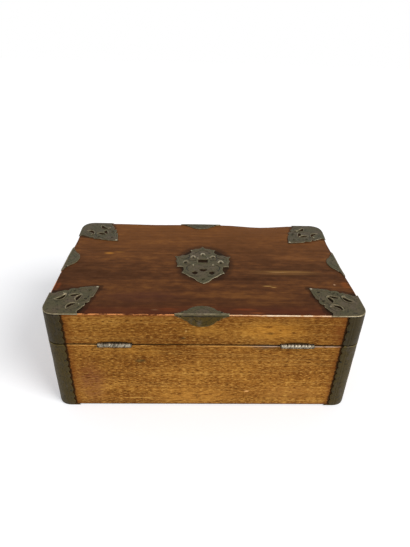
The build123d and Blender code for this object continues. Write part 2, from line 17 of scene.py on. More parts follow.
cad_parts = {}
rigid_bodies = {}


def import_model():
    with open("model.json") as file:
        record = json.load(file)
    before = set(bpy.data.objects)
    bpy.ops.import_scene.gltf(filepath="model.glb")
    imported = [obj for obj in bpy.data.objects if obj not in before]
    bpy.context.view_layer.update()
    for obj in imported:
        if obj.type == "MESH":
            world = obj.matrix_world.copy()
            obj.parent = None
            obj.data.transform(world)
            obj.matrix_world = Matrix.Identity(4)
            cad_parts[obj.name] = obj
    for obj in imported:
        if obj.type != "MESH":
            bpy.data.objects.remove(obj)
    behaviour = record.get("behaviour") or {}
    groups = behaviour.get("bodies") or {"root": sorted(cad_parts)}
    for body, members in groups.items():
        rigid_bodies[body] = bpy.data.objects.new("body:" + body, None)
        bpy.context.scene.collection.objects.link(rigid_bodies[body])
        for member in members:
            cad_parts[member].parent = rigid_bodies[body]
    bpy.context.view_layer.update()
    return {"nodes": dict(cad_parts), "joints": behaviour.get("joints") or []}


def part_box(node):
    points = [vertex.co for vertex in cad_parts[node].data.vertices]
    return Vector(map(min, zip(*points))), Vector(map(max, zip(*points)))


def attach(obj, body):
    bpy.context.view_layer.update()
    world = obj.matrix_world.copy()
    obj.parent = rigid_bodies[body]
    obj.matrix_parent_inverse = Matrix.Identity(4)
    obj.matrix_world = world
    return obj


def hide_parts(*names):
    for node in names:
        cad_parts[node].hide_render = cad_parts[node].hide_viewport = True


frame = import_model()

MM = 0.001
nodes = frame["nodes"]
print("pieces in the model:", len(nodes))

# %% [markdown]
# Sizes are read from the model where it has them, so that a fitting made here lies where the
# model has it. The lid's top sheet gives the outline of the wood and the height of the top, the
# two back boards give the open line between base and lid. Three sizes are given here.

# %% Sizes read from the model
half_width, half_depth, lid_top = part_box("lid_veneer")[1]
lid_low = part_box("lid_back_rail")[0].z
base_low, base_top = (corner.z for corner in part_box("base_front_board"))
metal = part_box("lid_corner_plate_front_left")[1].z - lid_top
corner_radius = 12 * MM          # rounding of the upright corners
arris_radius = 0.9 * MM          # rounding of the lid's top edge
strap_width = 17.7 * MM          # from the corner of the wood to a strap's inner edge
places = {joint["name"]: joint.get("pos_m") for joint in frame["joints"]}
hinge_axis = Vector(places["lid_hinge"])
print("wood", round(2 * half_width / MM, 1), "x", round(2 * half_depth / MM, 1), "mm")
print("sheet metal", round(metal / MM, 2), "mm")

# %% [markdown]
# The camera stands where the photographer stood: behind the box, above its hinges, a little
# to one side. Its place and its angles were found by matching the corners of the box, and a
# small roll is part of that match. The frame is upright, so the sensor's 36 mm run along its
# height.

# %% The camera
CAMERA_PLACE = Vector((0.01265, 0.40828, 0.35549))
LOOK_DOWN = math.radians(31.74)
LOOK_ASIDE = math.radians(1.95)
ROLL = math.radians(1.69)
LENS = 28.5
SENSOR = 36


def aim_camera():
    """Adds the camera and turns it by hand-made axes: right, up and backwards."""
    bpy.ops.object.camera_add(location=CAMERA_PLACE)
    camera = bpy.context.object
    forward = Vector((-math.sin(LOOK_ASIDE) * math.cos(LOOK_DOWN),
                      -math.cos(LOOK_ASIDE) * math.cos(LOOK_DOWN),
                      -math.sin(LOOK_DOWN)))
    level = Vector((-math.cos(LOOK_ASIDE), math.sin(LOOK_ASIDE), 0))
    upright = level.cross(forward)
    right = math.cos(ROLL) * level + math.sin(ROLL) * upright
    up = -math.sin(ROLL) * level + math.cos(ROLL) * upright
    axes = Matrix((right, up, -forward)).transposed().to_4x4()
    camera.matrix_world = Matrix.Translation(CAMERA_PLACE) @ axes
    camera.data.lens = LENS
    camera.data.sensor_width = SENSOR
    bpy.context.scene.camera = camera
    return camera


print("camera at", aim_camera().location)

# %% [markdown]
# A studio shot on white has one large soft light, here from the right of the picture and above.
# A sun far away gives the whole floor the same light, and its width softens the shadow. Its
# strength is such that a colour comes out as it is written.

# %% Light and view
KEY_PLACE = (-0.95, 0.65, 0.8)
KEY_STRENGTH = 2.6
KEY_SPREAD = math.radians(35)

scene = bpy.context.scene
scene.view_settings.view_transform = "Standard"
bpy.ops.object.light_add(type="SUN", location=KEY_PLACE)
lamp = bpy.context.object
lamp.data.energy = KEY_STRENGTH
lamp.data.angle = KEY_SPREAD
lamp.rotation_euler = Vector(KEY_PLACE).to_track_quat("Z", "Y").to_euler()
print("light:", lamp.name)

# %% [markdown]
# A finish is a network of nodes. Wire wraps one socket of it, so that a sum such as 1 - mask or
# grain * 0.3 adds its own Math nodes. All these sums are alike, so one function makes their
# methods.

# %% Sums on sockets
def maths(operation, reflected=False):
    """A method that adds one Math node, with the wire as its first term or, reflected, its last."""
    def method(wire, *others):
        terms = (*others, wire) if reflected else (wire, *others)
        return wire.network.node("ShaderNodeMath", {"operation": operation}, dict(enumerate(terms)))
    return method


class Wire:
    """An output socket that sums can be written with."""

    __add__ = maths("ADD")
    __sub__ = maths("SUBTRACT")
    __mul__ = maths("MULTIPLY")
    __radd__ = maths("ADD", reflected=True)
    __rsub__ = maths("SUBTRACT", reflected=True)
    __rmul__ = maths("MULTIPLY", reflected=True)
    __abs__ = maths("ABSOLUTE")
    most = maths("MAXIMUM")
    least = maths("MINIMUM")

    def __init__(self, network, socket):
        self.network = network
        self.socket = socket


# %% [markdown]
# Network owns the nodes: its method node makes one from its type, its settings and the values
# of its sockets. Finish is such a network round a shader, with the few patterns that every
# finish here uses. Most of them are coats of paint, one over the other, each with a share that
# says where it lies.

# %% A finish and its patterns
def paint(code):
    """A colour as it is seen, written like #8a5a22, turned into the light that a shader adds up."""
    seen = [int(code[place:place + 2], 16) / 255 for place in (1, 3, 5)]
    light = [c / 12.92 if c <= 0.04045 else ((c + 0.055) / 1.055) ** 2.4 for c in seen]
    return (*light, 1.0)


class Network:
    """A tree of nodes, built node by node."""

    def __init__(self, tree):
        self.tree = tree
        self.tree.nodes.clear()

    def node(self, kind, settings=None, sockets=None, output=0):
        """Makes a node and returns one of its outputs, or for None the node itself."""
        made = self.tree.nodes.new(kind)
        for name, value in (settings or {}).items():
            if name == "stops":
                self.set_stops(made.color_ramp, value)
            else:
                setattr(made, name, value)
        for name, value in (sockets or {}).items():
            self.feed(made.inputs[name], value)
        return made if output is None else Wire(self, made.outputs[output])

    def feed(self, socket, value):
        """Links a wire to a socket, or gives the socket a plain value."""
        if isinstance(value, Wire):
            self.tree.links.new(value.socket, socket)
        else:
            socket.default_value = value

    @staticmethod
    def set_stops(ramp, stops):
        while len(ramp.elements) < len(stops):
            ramp.elements.new(1.0)
        for element, (place, colour) in zip(ramp.elements, stops):
            element.position = place
            element.color = paint(colour)

    def seen(self):
        """1 for the camera, for reflections and for what shows through glass, 0 for the light itself."""
        rays = self.node("ShaderNodeLightPath", output=None).outputs
        kinds = ("Is Camera Ray", "Is Glossy Ray", "Is Transmission Ray")
        camera, glossy, through = (Wire(self, rays[kind]) for kind in kinds)
        return camera.most(glossy).most(through)


class Finish(Network):
    """One material: a shader, and the patterns that colour it."""

    def __init__(self, name, **constants):
        self.material = bpy.data.materials.new(name)
        self.material.use_nodes = True
        super().__init__(self.material.node_tree)
        self.shader = self.node("ShaderNodeBsdfPrincipled", output=None)
        surface = Wire(self, self.shader.outputs[0])
        self.node("ShaderNodeOutputMaterial", sockets={"Surface": surface}, output=None)
        self.set(**constants)
        self.where = self.node("ShaderNodeTexCoord", output="Object")
        split = self.node("ShaderNodeSeparateXYZ", sockets={"Vector": self.where}, output=None)
        self.x, self.y, self.z = (Wire(self, socket) for socket in split.outputs)

    def set(self, **inputs):
        """Links or sets the shader's own sockets."""
        for name, value in inputs.items():
            self.feed(self.shader.inputs[name.replace("_", " ")], value)

    def clouds(self, marks, detail=3, roughness=0.5, distortion=0):
        """Noise from about 0.25 to 0.75, with so many marks per metre along x, y and z."""
        place = self.node("ShaderNodeMapping", sockets={"Vector": self.where, "Scale": marks})
        return self.node("ShaderNodeTexNoise", sockets={
            "Vector": place, "Scale": 1, "Detail": detail,
            "Roughness": roughness, "Distortion": distortion}, output="Fac")

    def step(self, value, low, high):
        """0 below low, 1 above high and smooth between, or the other way round if low is more."""
        return self.node("ShaderNodeMapRange", {"interpolation_type": "SMOOTHSTEP"}, {
            "Value": value, "From Min": low, "From Max": high})

    def ramp(self, value, *stops):
        """A colour for each value, through the given stops."""
        return self.node("ShaderNodeValToRGB", {"stops": stops}, {"Fac": value}, output="Color")

    def mix(self, first, second, share):
        """Two colours mixed by a share."""
        first, second = (paint(c) if isinstance(c, str) else c for c in (first, second))
        return self.node("ShaderNodeMix", {"data_type": "RGBA"}, {0: share, 6: first, 7: second}, output=2)

    def coats(self, colour, *layers):
        """A colour under further ones, each with its share."""
        for tint, share in layers:
            colour = self.mix(colour, tint, share)
        return colour

    def spot(self, centre, reach, edge):
        """A patch round a place: 1 up to the edge, 0 beyond its reach along x, y and z."""
        place = self.where
        for operation, other in (("SUBTRACT", centre), ("DIVIDE", reach)):
            place = self.node("ShaderNodeVectorMath", {"operation": operation}, {0: place, 1: other})
        distance = self.node("ShaderNodeVectorMath", {"operation": "LENGTH"}, {0: place}, output="Value")
        return self.step(distance, 1.0, edge)

    def bump(self, height, distance, strength):
        self.set(Normal=self.node("ShaderNodeBump", sockets={
            "Height": height, "Distance": distance, "Strength": strength}))

    def attribute(self, name):
        """A value that the modelling steps left on each point of a piece."""
        return self.node("ShaderNodeAttribute", {"attribute_name": name}, output="Fac")


print("helpers ready")

# %% [markdown]
# The sides are a golden brown hardwood under old shellac. Seen close it is busy: short dark
# pores and flecks along the grain, soft clouds of lighter and darker brown, a redder tone
# beside the metal where polish was never rubbed off, and dirt along the open line of the lid.
# Painted light and shade lie over this: a pale lip under the open line, partly worn wood and
# partly a painted highlight, and painted shadows round the hinges, beside the straps' edges
# and along the foot of the box.
# All of it is one network with the grain's direction as its argument, because the front and
# back boards run along x and the end boards along y. Inside, the same boards were never
# polished, and a mask on the place turns the finish into bare pale wood there.

# %% Case wood
SHINE = 0.02                     # old shellac, dull from dust and handling
SKIN = 2.5 * MM                  # how deep the polished outside of the case reaches
GRAIN = (                        # marks per metre along and across, detail, roughness, distortion
    (11, 30, 4, 0.6),            # clouds
    (90, 390, 4, 0.65, 0.25),    # mottle
    (230, 950, 3, 0.7, 0.15),    # flecks
    (420, 2400, 2),              # fibres
    (170, 14, 2),                # ripple
    (4, 330, 4, 0.65, 0.1),      # lines
)
MARK_EDGE = 0.2                  # how far out a mark is at its full strength, as a share
SIDE_MARKS = (                   # x and z, reach in millimetres, colour and strength, hinge side
    ((-64, 99), (44, 15), "#cf9038", 0.5),
    ((-130, 100), (18, 22), "#74401c", 0.6),
    ((8, 12), (64, 20), "#cb9040", 0.5),
    ((-88, 18), (50, 16), "#8e5c2a", 0.6),
    ((112, 30), (20, 40), "#7c4a30", 0.6),
    ((4, 99), (34, 11), "#c08a3a", 0.35),
    ((62, 74), (30, 9), "#bd8434", 0.35),
    ((-56, 79.5), (17, 4.5), "#37302c", 0.75),
    ((21, 90), (4.5, 2.2), "#3a3120", 0.8),
    ((62, 61), (8, 3.2), "#4c4426", 0.7),
    ((-61, 96), (6, 1.8), "#38240f", 0.8),
    ((-101, 64), (16, 0.9), "#472510", 0.85),
    ((-122, 62), (15, 0.9), "#472510", 0.85),
    ((-32, 66), (36, 1.6), "#60390f", 0.6),
    ((64, 10), (26, 1.2), "#dba753", 0.7),
    ((84, 41), (13, 1.0), "#55320f", 0.6),
    ((-44, 20), (3.6, 1.8), "#eeb36e", 0.9),
    ((-127, 20), (2.4, 1.4), "#dba266", 0.7),
    ((18, 99), (1.6, 3.2), "#dbac62", 0.7),
)


def grained(finish, axis, along, across, *noise_settings):
    """Noise stretched along the grain."""
    marks = (along, across, across) if axis == "x" else (across, along, across)
    return finish.clouds(marks, *noise_settings)


def inside_of_case(finish):
    """1 on the faces that look into the box."""
    inside = finish.step(finish.z, lid_top - SKIN, lid_top - SKIN - MM)
    for place, half in ((finish.x, half_width), (finish.y, half_depth)):
        inside = inside * finish.step(abs(place), half - SKIN, half - SKIN - MM)
    return inside


def marked(finish, colour, marks, broken, upright):
    """Stains, cracks and chips laid over a colour on one side, broken up by the grain."""
    for (x, other), (long, wide), tint, strength in marks:
        centre = (x * MM, half_depth, other * MM) if upright else (x * MM, other * MM, lid_top)
        reach = (long, 8, wide) if upright else (long, wide, 9)
        mark = finish.spot(centre, [size * MM for size in reach], MARK_EDGE)
        colour = finish.mix(colour, tint, mark * broken * strength)
    return colour


def shadow_round_hinges(finish):
    """1 on the wood round each hinge, where a dark shadow is painted."""
    hinge_shadows = []
    for end in ("left", "right"):
        low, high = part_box("hinge_base_leaf_" + end)
        reach = ((high.x - low.x) / 2 + 2.4 * MM, 9 * MM, 4.4 * MM)
        hinge_shadows.append(finish.spot(((low.x + high.x) / 2, half_depth, base_top), reach, 0.8))
    return hinge_shadows[0].most(hinge_shadows[1])


def case_wood(name, axis):
    finish = Finish(name, Specular_IOR_Level=SHINE)
    clouds, mottle, flecks, fibres, ripple, lines = (grained(finish, axis, *row) for row in GRAIN)
    run, end = (abs(finish.x), half_width) if axis == "x" else (abs(finish.y), half_depth)
    strap_edge = end - strap_width
    beside_strap = finish.step(run + mottle * 16 * MM, strap_edge - 2 * MM, strap_edge + 10 * MM)
    tone = clouds * 0.55 + mottle * 0.4 + ripple * 0.15 + lines * 0.2 - 0.15
    colour = finish.coats(
        finish.ramp(tone, (0.38, "#6b3d12"), (0.46, "#8a5721"), (0.54, "#a26d2c"), (0.64, "#bf8a3e")),
        ("#6b4116", finish.step(lines, 0.53, 0.64) * 0.55),
        ("#cf9c4e", finish.step(lines, 0.47, 0.37) * 0.35),
        ("#4a290d", finish.step(flecks, 0.525, 0.615) * 0.85),
        ("#dda855", finish.step(flecks, 0.465, 0.38) * 0.58),
        ("#5a3412", finish.step(fibres, 0.55, 0.7) * 0.35),
        ("#6a3512", beside_strap * 0.7),
        ("#5e3610", finish.step(finish.z, 10 * MM, lid_top) * 0.3))
    if axis == "x":
        colour = marked(finish, colour, SIDE_MARKS, finish.step(mottle, 0.34, 0.54), upright=True)
        # painted shadow on the wood round the hinge barrels
        colour = finish.mix(colour, "#1d150d", shadow_round_hinges(finish) * 0.85)
    seam = abs(finish.z - (base_top + lid_low) / 2)
    # a pale lip under the open line: partly wood worn bare, partly a painted highlight, greyer on the left
    lip = finish.step(abs(finish.z - base_top + 1.2 * MM), 0.9 * MM, 0.3 * MM)
    greyed = finish.step(finish.x, -25 * MM, -70 * MM) * finish.step(finish.y, 0, 20 * MM)
    under_arris = finish.step(finish.z + clouds * 6 * MM, lid_top - 3 * MM, lid_top + 4 * MM)
    # painted shadow along the wood beside each strap's scalloped edge
    strap_shadow = finish.step(run + (mottle - 0.5) * 5 * MM, strap_edge - 2.1 * MM, strap_edge - 0.5 * MM)
    # painted contact shadow along the foot of the box
    foot_shadow = finish.step(finish.z + mottle * 1.6 * MM, base_low + 2.6 * MM, base_low + 1.2 * MM)
    inner = inside_of_case(finish)
    colour = finish.coats(
        colour,
        ("#1d1209", finish.step(seam - clouds * 1.4 * MM, 0.5 * MM, -0.1 * MM) * 0.92),
        (finish.mix("#d09850", "#b9a08c", greyed), lip * finish.step(mottle + clouds, 0.84, 1.0) * 0.8),
        ("#7a421c", under_arris * 0.6),
        ("#1a130a", strap_shadow * 0.88),
        ("#4c2c1a", foot_shadow * 0.75),
        (finish.ramp(mottle, (0.3, "#8c6a42"), (0.7, "#b08c5c")), inner))
    finish.set(Base_Color=colour, Roughness=0.5 + clouds * 0.15 + inner * 0.15)
    finish.bump(flecks * -0.6 + fibres * 0.2 + mottle * 0.5, 0.4 * MM, 0.6)
    return finish.material


CASE_WOOD = {axis: case_wood("case_wood_" + axis, axis) for axis in ("x", "y")}
print("case wood:", [len(m.node_tree.nodes) for m in CASE_WOOD.values()], "nodes")

# %% [markdown]
# The top is one dark red-brown sheet with a fine straight grain. Handling has left it uneven:
# light scratches and streaks, a few bright chips, dirt in a line round the plates, and an edge
# along the hinges that is worn down to pale wood, palest on the right of the picture. Painted
# light lies over this: an orange sheen towards the lock side, a painted shadow with the dirt
# round the plates, dark painted shade on the wood under the plates, which their piercings
# show, and a painted highlight on the worn edge.

# %% The sheet on top
TOP_MARKS = (                    # x and y, reach in millimetres, colour and strength
    ((-84, 20), (52, 8), "#8e6438", 0.45),
    ((-84, 18), (44, 1.1), "#b98a4c", 0.75),
    ((-78, 19), (14, 0.8), "#cfa265", 0.8),
    ((-100, -12), (34, 5), "#8a5830", 0.35),
    ((106, -18), (7, 3.4), "#b67a30", 0.65),
    ((95, -21), (8, 2.2), "#a8702e", 0.55),
    ((112, -24), (9, 1.6), "#3c2212", 0.6),
    ((-63, 46), (7, 1.2), "#b58c4c", 0.8),
    ((-69, 48), (4, 1.0), "#b58c4c", 0.8),
    ((146, 49), (5, 12), "#9a4a22", 0.45),
    ((47, 87.5), (5, 1.0), "#c9a074", 0.8),
    ((-132, 42), (1.6, 1.6), "#c9a27c", 0.9),
    ((-36, 86), (16, 2.6), "#8a4420", 0.7),
    ((34, 87), (13, 3.4), "#8f4820", 0.7),
    ((-47, 91), (9, 1.4), "#b56a34", 0.7),
    ((-143, 42), (6, 9), "#8c4a1e", 0.5),
    ((-66, 84), (26, 6), "#3a231c", 0.6),
    ((62, 66), (56, 16), "#4e2c22", 0.55),
)
ARM_SLOPE = 0.24                 # how a corner plate narrows from its tip to its two ends


def arris(finish, reach):
    """1 along the top edge of the lid, fading out over its reach."""
    from_end = half_width - abs(finish.x)
    from_side = half_depth - abs(finish.y)
    return finish.step(from_side.least(from_end).most(lid_top - finish.z), reach, reach * 0.35)


def dirt_and_shade_at_plates(finish, breaks):
    """Two masks: dirt and a painted shadow round each plate, and painted shade on the wood under it, which
    its holes show.
    """
    uneven = breaks * 6 * MM - 3 * MM
    from_end = half_width - abs(finish.x)
    from_side = half_depth - abs(finish.y)
    across = (from_end - from_side * ARM_SLOPE).most(from_side - from_end * ARM_SLOPE) + uneven
    furthest = from_end.most(from_side) + uneven
    round_corner = finish.step(across, 39.5 * MM, 37 * MM) * finish.step(furthest, 50.5 * MM, 48 * MM)
    round_middle = finish.spot((0, 2 * MM, lid_top), (34.5 * MM, 43 * MM, 9 * MM), 0.84)
    shade_under_corner = finish.step(across, 36 * MM, 33 * MM)
    shade_under_middle = finish.spot((0, 2 * MM, lid_top), (29 * MM, 34 * MM, 9 * MM), 0.9)
    return round_corner.most(round_middle), shade_under_corner.most(shade_under_middle)


def veneer():
    finish = Finish("lid_veneer", Specular_IOR_Level=SHINE)
    clouds = finish.clouds((9, 26, 9), 4, 0.6)
    streaks = finish.clouds((6, 260, 260), 5, 0.7, 0.15)
    mottle = finish.clouds((90, 190, 190), 4, 0.65)
    fibres = finish.clouds((60, 1500, 1500), 3, 0.6)
    breaks = finish.clouds((75, 75, 400), 4, 0.7)
    tone = clouds * 0.54 + streaks * 0.34 + mottle * 0.37 - 0.125
    colour = finish.coats(
        finish.ramp(tone, (0.36, "#40240f"), (0.46, "#50301a"), (0.54, "#623c20"), (0.66, "#805229")),
        # painted sheen: an orange haze towards the lock side
        ("#7d4d22", finish.step(finish.y + clouds * 60 * MM, 60 * MM, -90 * MM) * 0.6),
        ("#3e2218", finish.step(finish.y, 10 * MM, half_depth) * 0.4),
        ("#38200f", finish.step(fibres, 0.55, 0.7) * 0.5))
    colour = marked(finish, colour, TOP_MARKS, finish.step(streaks, 0.36, 0.56), upright=False)
    red_edge = finish.step(finish.y + clouds * 16 * MM, half_depth - 10 * MM, half_depth + 6 * MM)
    dirt, holes = dirt_and_shade_at_plates(finish, mottle)
    pale = finish.step(finish.x, 30 * MM, -30 * MM) * finish.step(finish.y, 0, 30 * MM)
    # the worn pale edge along the top, with a painted highlight on it
    worn = arris(finish, breaks * 2.2 * MM) * finish.step(breaks + pale * 0.09, 0.43, 0.5)
    palest = finish.mix("#e2a26a", "#ffe2be", finish.step(breaks, 0.36, 0.6))
    colour = finish.coats(
        colour,
        ("#5a2a1a", red_edge * 0.5),
        ("#2c1812", arris(finish, 5 * MM) * finish.step(breaks, 0.46, 0.6) * 0.5),
        # dirt and a painted shadow round the plates
        ("#1e140d", dirt * 0.5),
        # painted shade on the wood under the plates, seen through their holes
        ("#14120b", holes * 0.7),
        (finish.mix("#d98e55", palest, pale), worn * 0.95))
    finish.set(Base_Color=colour, Roughness=0.36 + clouds * 0.2 + worn * 0.2)
    finish.bump(fibres * -0.4 + streaks * 0.6, 0.3 * MM, 0.4)
    return finish.material


VENEER = veneer()
print("top sheet:", len(VENEER.node_tree.nodes), "nodes")

# %% [markdown]
# Plain wood is used where nobody looks: softwood boards under the top sheet and at the bottom,
# and the thin waxed boards of the coin till, darkened where fingers sweep the coins out.

# %% Inner wood and till wood
def plain_wood(name, light, deep, dark):
    finish = Finish(name, Specular_IOR_Level=SHINE)
    rings = finish.clouds((8, 160, 160), 4, 0.6, 0.4)
    fibres = finish.clouds((90, 1400, 1400), 3)
    grime = finish.clouds((22, 22, 22), 4, 0.65)
    colour = finish.coats(
        finish.ramp(rings * 0.8 + fibres * 0.3 - 0.05, (0.32, deep), (0.68, light)),
        (dark, finish.step(fibres, 0.56, 0.72) * 0.4),
        (dark, finish.step(grime, 0.5, 0.75) * 0.5))
    finish.set(Base_Color=colour, Roughness=0.5 + grime * 0.25)
    finish.bump(fibres - rings * 0.3, 0.25 * MM, 0.4)
    return finish.material


INNER_WOOD = plain_wood("inner_wood", "#bd9862", "#9a7748", "#6b4c2a")
TILL_WOOD = plain_wood("till_wood", "#9a6a38", "#7a4d25", "#452a14")
print("plain woods:", INNER_WOOD.name, TILL_WOOD.name)

# %% [markdown]
# The fittings are thin brass gone dark: an olive-grey skin with greener clouds, black dirt and
# painted shade in the hollows, and a paler, brighter metal on every edge and raised point that
# hands reach, with painted highlights (glints) on rims, lips, bosses and hoods. The modelling
# steps below leave two values on each point, wear and highlight, and dirt and shade, and this
# finish reads them, so both follow the relief of each fitting. The straps are darker than the
# plates, most of all on the lid, and all of the metal is painted a little darker towards the
# lock side, a painted shade.

# %% Aged metal
# The dark colour below serves for dirt and for painted shade, the light one for painted highlights.
GRIME_AND_SHADE = "#15130d"
GLINT = "#cdc2ac"


def aged_metal(name, skin, green, bright, side, lid_shade=0.0):
    finish = Finish(name, Metallic=0.7)
    clouds = finish.clouds((90, 90, 90), 4, 0.6)
    pits = finish.clouds((700, 700, 700), 3, 0.6)
    blows = finish.clouds((260, 260, 260), 2)
    worn = finish.attribute("worn")
    dirt = finish.attribute("dirt")
    upright = finish.step(finish.z, lid_top, lid_top - 1.5 * MM)
    # paler metal where it is worn and where highlights are painted
    rubbed_and_highlit = finish.step(worn + (pits - 0.5) * 0.7 + (blows - 0.5) * 1.2, 0.3, 1.0)
    colour = finish.coats(
        skin,
        (green, finish.step(clouds, 0.42, 0.62) * 0.7),
        ("#5a4c40", finish.step(clouds + blows * 0.5, 0.72, 0.56) * 0.45),
        (side, upright * finish.step(clouds + blows * 0.4, 0.44, 0.72)),
        (GRIME_AND_SHADE, finish.step(finish.z, base_top, lid_low + 3 * MM) * lid_shade),
        (GRIME_AND_SHADE, finish.step(pits + blows * 0.5, 0.74, 0.95) * 0.6),
        # painted shade: the metal is darker towards the lock side
        (GRIME_AND_SHADE, finish.step(finish.y, 0, -60 * MM) * 0.14),
        (bright, rubbed_and_highlit * 0.9),
        # dirt, with painted shade in the hollows
        (GRIME_AND_SHADE, finish.step(dirt + (pits - 0.5) * 0.5, 0.15, 0.8) * 0.85),
        # painted highlight where the value is highest
        (GLINT, finish.step(worn + (pits - 0.5) * 0.4, 0.8, 1.0) * 0.85))
    finish.set(Base_Color=colour, Roughness=0.52 + pits * 0.2 - rubbed_and_highlit * 0.2)
    finish.bump(pits * 0.4 + blows * 0.9, 0.35 * MM, 0.6)
    return finish.material


PLATE_METAL = aged_metal("aged_metal", "#544a33", "#4b482f", "#94876a", "#4b3a06")
STRAP_METAL = aged_metal("strap_metal", "#37321f", "#33341d", "#6f6030", "#453814", lid_shade=0.34)
print("metals:", PLATE_METAL.name, STRAP_METAL.name)

# %% [markdown]
# The small metal parts get plain relatives of that finish: steel rubbed bright on the hinge
# barrels, dull steel screws, dark nails, and dull yellow brass inside the lock, each with its
# own clouds of tarnish and fine scratches along the part. Where a piece has the dirt and shade
# value, it is black; on the hinge barrels that value is painted shade.

# %% Steel and lock brass
def small_metal(name, clean, tarnish, roughness):
    finish = Finish(name, Metallic=0.9)
    clouds = finish.clouds((160, 160, 160), 4, 0.65)
    scratches = finish.clouds((300, 2500, 2500), 3)
    colour = finish.coats(
        clean,
        (tarnish, finish.step(clouds, 0.42, 0.66)),
        (tarnish, finish.step(scratches, 0.55, 0.7) * 0.4),
        # black where the value of dirt and painted shade is high
        ("#14110c", finish.step(finish.attribute("dirt"), 0.1, 0.9) * 0.9))
    finish.set(Base_Color=colour, Roughness=roughness - 0.08 + clouds * 0.25)
    finish.bump(scratches, 0.12 * MM, 0.35)
    return finish.material


HINGE_METAL = small_metal("hinge_metal", "#a09683", "#5f594b", 0.45)
SCREW_METAL = small_metal("screw_metal", "#9a9286", "#5d564c", 0.5)
LOCK_METAL = small_metal("lock_metal", "#b09a5c", "#6e5f38", 0.45)
NAIL_METAL = small_metal("nail_metal", "#3a3424", "#1c1912", 0.55)
print("small metals: 4")

# %% [markdown]
# The carried-over pieces are sorted by name and take their finish in the slot that the model
# gave them. Grain runs along x in the front and back boards and along y in the ends.

# %% Finishes on the pieces of the model
FINISHES = (                     # the first pattern found in a name gives its finish
    ("veneer", VENEER),
    ("till_", TILL_WOOD),
    ("top_board|bottom_board", INNER_WOOD),
    ("(left|right)_(board|rail)", CASE_WOOD["y"]),
    ("_board|_rail", CASE_WOOD["x"]),
    ("screws", SCREW_METAL),
    ("hinge", HINGE_METAL),
    ("nails", NAIL_METAL),
    ("lock|link|keyhole", LOCK_METAL),
    ("", PLATE_METAL),
)


def finish_of(name):
    return next(finish for pattern, finish in FINISHES if re.search(pattern, name))


for name, node in nodes.items():
    for slot in node.material_slots:
        slot.material = finish_of(name)
print("finished", len(nodes), "pieces")

# %% [markdown]
# Modelling starts with a few hand moves. take selects some pieces alone, because an operator
# acts on all that is selected. editing opens one piece in edit mode and closes it again. modify
# adds a modifier and applies it at once. The two that follow read and write all points of a
# piece together, and fit gives a finished piece its place in the model.

# %% Moves used by every fitting
def take(*pieces):
    bpy.ops.object.select_all(action="DESELECT")
    for piece in pieces:
        piece.select_set(True)
    bpy.context.view_layer.objects.active = pieces[0]


@contextmanager
def editing(piece, everything=True):
    take(piece)
    bpy.ops.object.mode_set(mode="EDIT")
    if everything:
        bpy.ops.mesh.select_all(action="SELECT")
    yield
    bpy.ops.object.mode_set(mode="OBJECT")


def modify(piece, kind, **settings):
    take(piece)
    modifier = piece.modifiers.new(kind.title(), kind)
    for name, value in settings.items():
        setattr(modifier, name, value)
    bpy.ops.object.modifier_apply(modifier=modifier.name)


def points_of(piece):
    flat = np.empty(len(piece.data.vertices) * 3)
    piece.data.vertices.foreach_get("co", flat)
    return flat.reshape(-1, 3)


def move_points(piece, points):
    piece.data.vertices.foreach_set("co", np.ascontiguousarray(points).ravel())
    piece.data.update()


def note(piece, name, values):
    """Leaves a value from 0 to 1 on every point, for the finish to read."""
    layer = piece.data.attributes.new(name, "FLOAT", "POINT")
    layer.data.foreach_set("value", np.clip(values, 0, 1).astype(np.float32))


def tidy_faces(piece, angle=50):
    """Merges what lies together, turns all faces outwards and shades by angle."""
    with editing(piece):
        bpy.ops.mesh.remove_doubles(threshold=0.002 * MM)
        bpy.ops.mesh.normals_make_consistent(inside=False)
    bpy.ops.object.shade_smooth_by_angle(angle=math.radians(angle))


def join(name, pieces):
    take(*pieces)
    if len(pieces) > 1:
        bpy.ops.object.join()
    pieces[0].name = name
    return pieces[0]


def copy_of(piece, name):
    twin = piece.copy()
    twin.data = piece.data.copy()
    twin.name = name
    scene.collection.objects.link(twin)
    return twin


def set_finish(piece, material):
    piece.data.materials.clear()
    piece.data.materials.append(material)


def fit(piece, body, material, replaced):
    """Gives a finished piece its material and its body, and hides the node that it stands for."""
    set_finish(piece, material)
    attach(piece, body)
    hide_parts(replaced)
    print(piece.name, len(piece.data.polygons), "faces")


# %% [markdown]
# A beaten fitting starts as a flat sheet. Its rim and its piercings are drawn as bows, each a
# start, a point that the line passes and an end, and a filled flat curve turns them into a
# plate of the sheet's thickness. A voxel remesh then spreads even small faces over it, so that
# relief can be raised anywhere, as a chaser would from the back.

# %% Flat sheets
BOW_STEPS = 9
MIRRORS = {
    "left to right": lambda x, y: (-x, y),
    "top to bottom": lambda x, y: (x, -y),
    "diagonal": lambda x, y: (y, x),
}


def chain(*points):
    """Bows in a row: each starts where the one before ends, and takes two more points."""
    return [points[start:start + 3] for start in range(0, len(points) - 2, 2)]


def bow(start, through, end):
    """Points from start up to, but without, end."""
    start, through, end = (np.array(point, float) * MM for point in (start, through, end))
    lift = 2 * through - (start + end) / 2
    share = np.linspace(0, 1, BOW_STEPS, endpoint=False)[:, None]
    return (1 - share) ** 2 * start + 2 * share * (1 - share) * lift + share ** 2 * end


def loop(*bows):
    return np.vstack([bow(*each) for each in bows])


def line(*bows):
    """The same with the last end."""
    return np.vstack([loop(*bows), np.array(bows[-1][2], float) * MM])


def flip(bows, way="left to right"):
    """The mirror image of a chain of bows, run through backwards, so that both close up."""
    return [[MIRRORS[way](*point) for point in reversed(each)] for each in reversed(bows)]


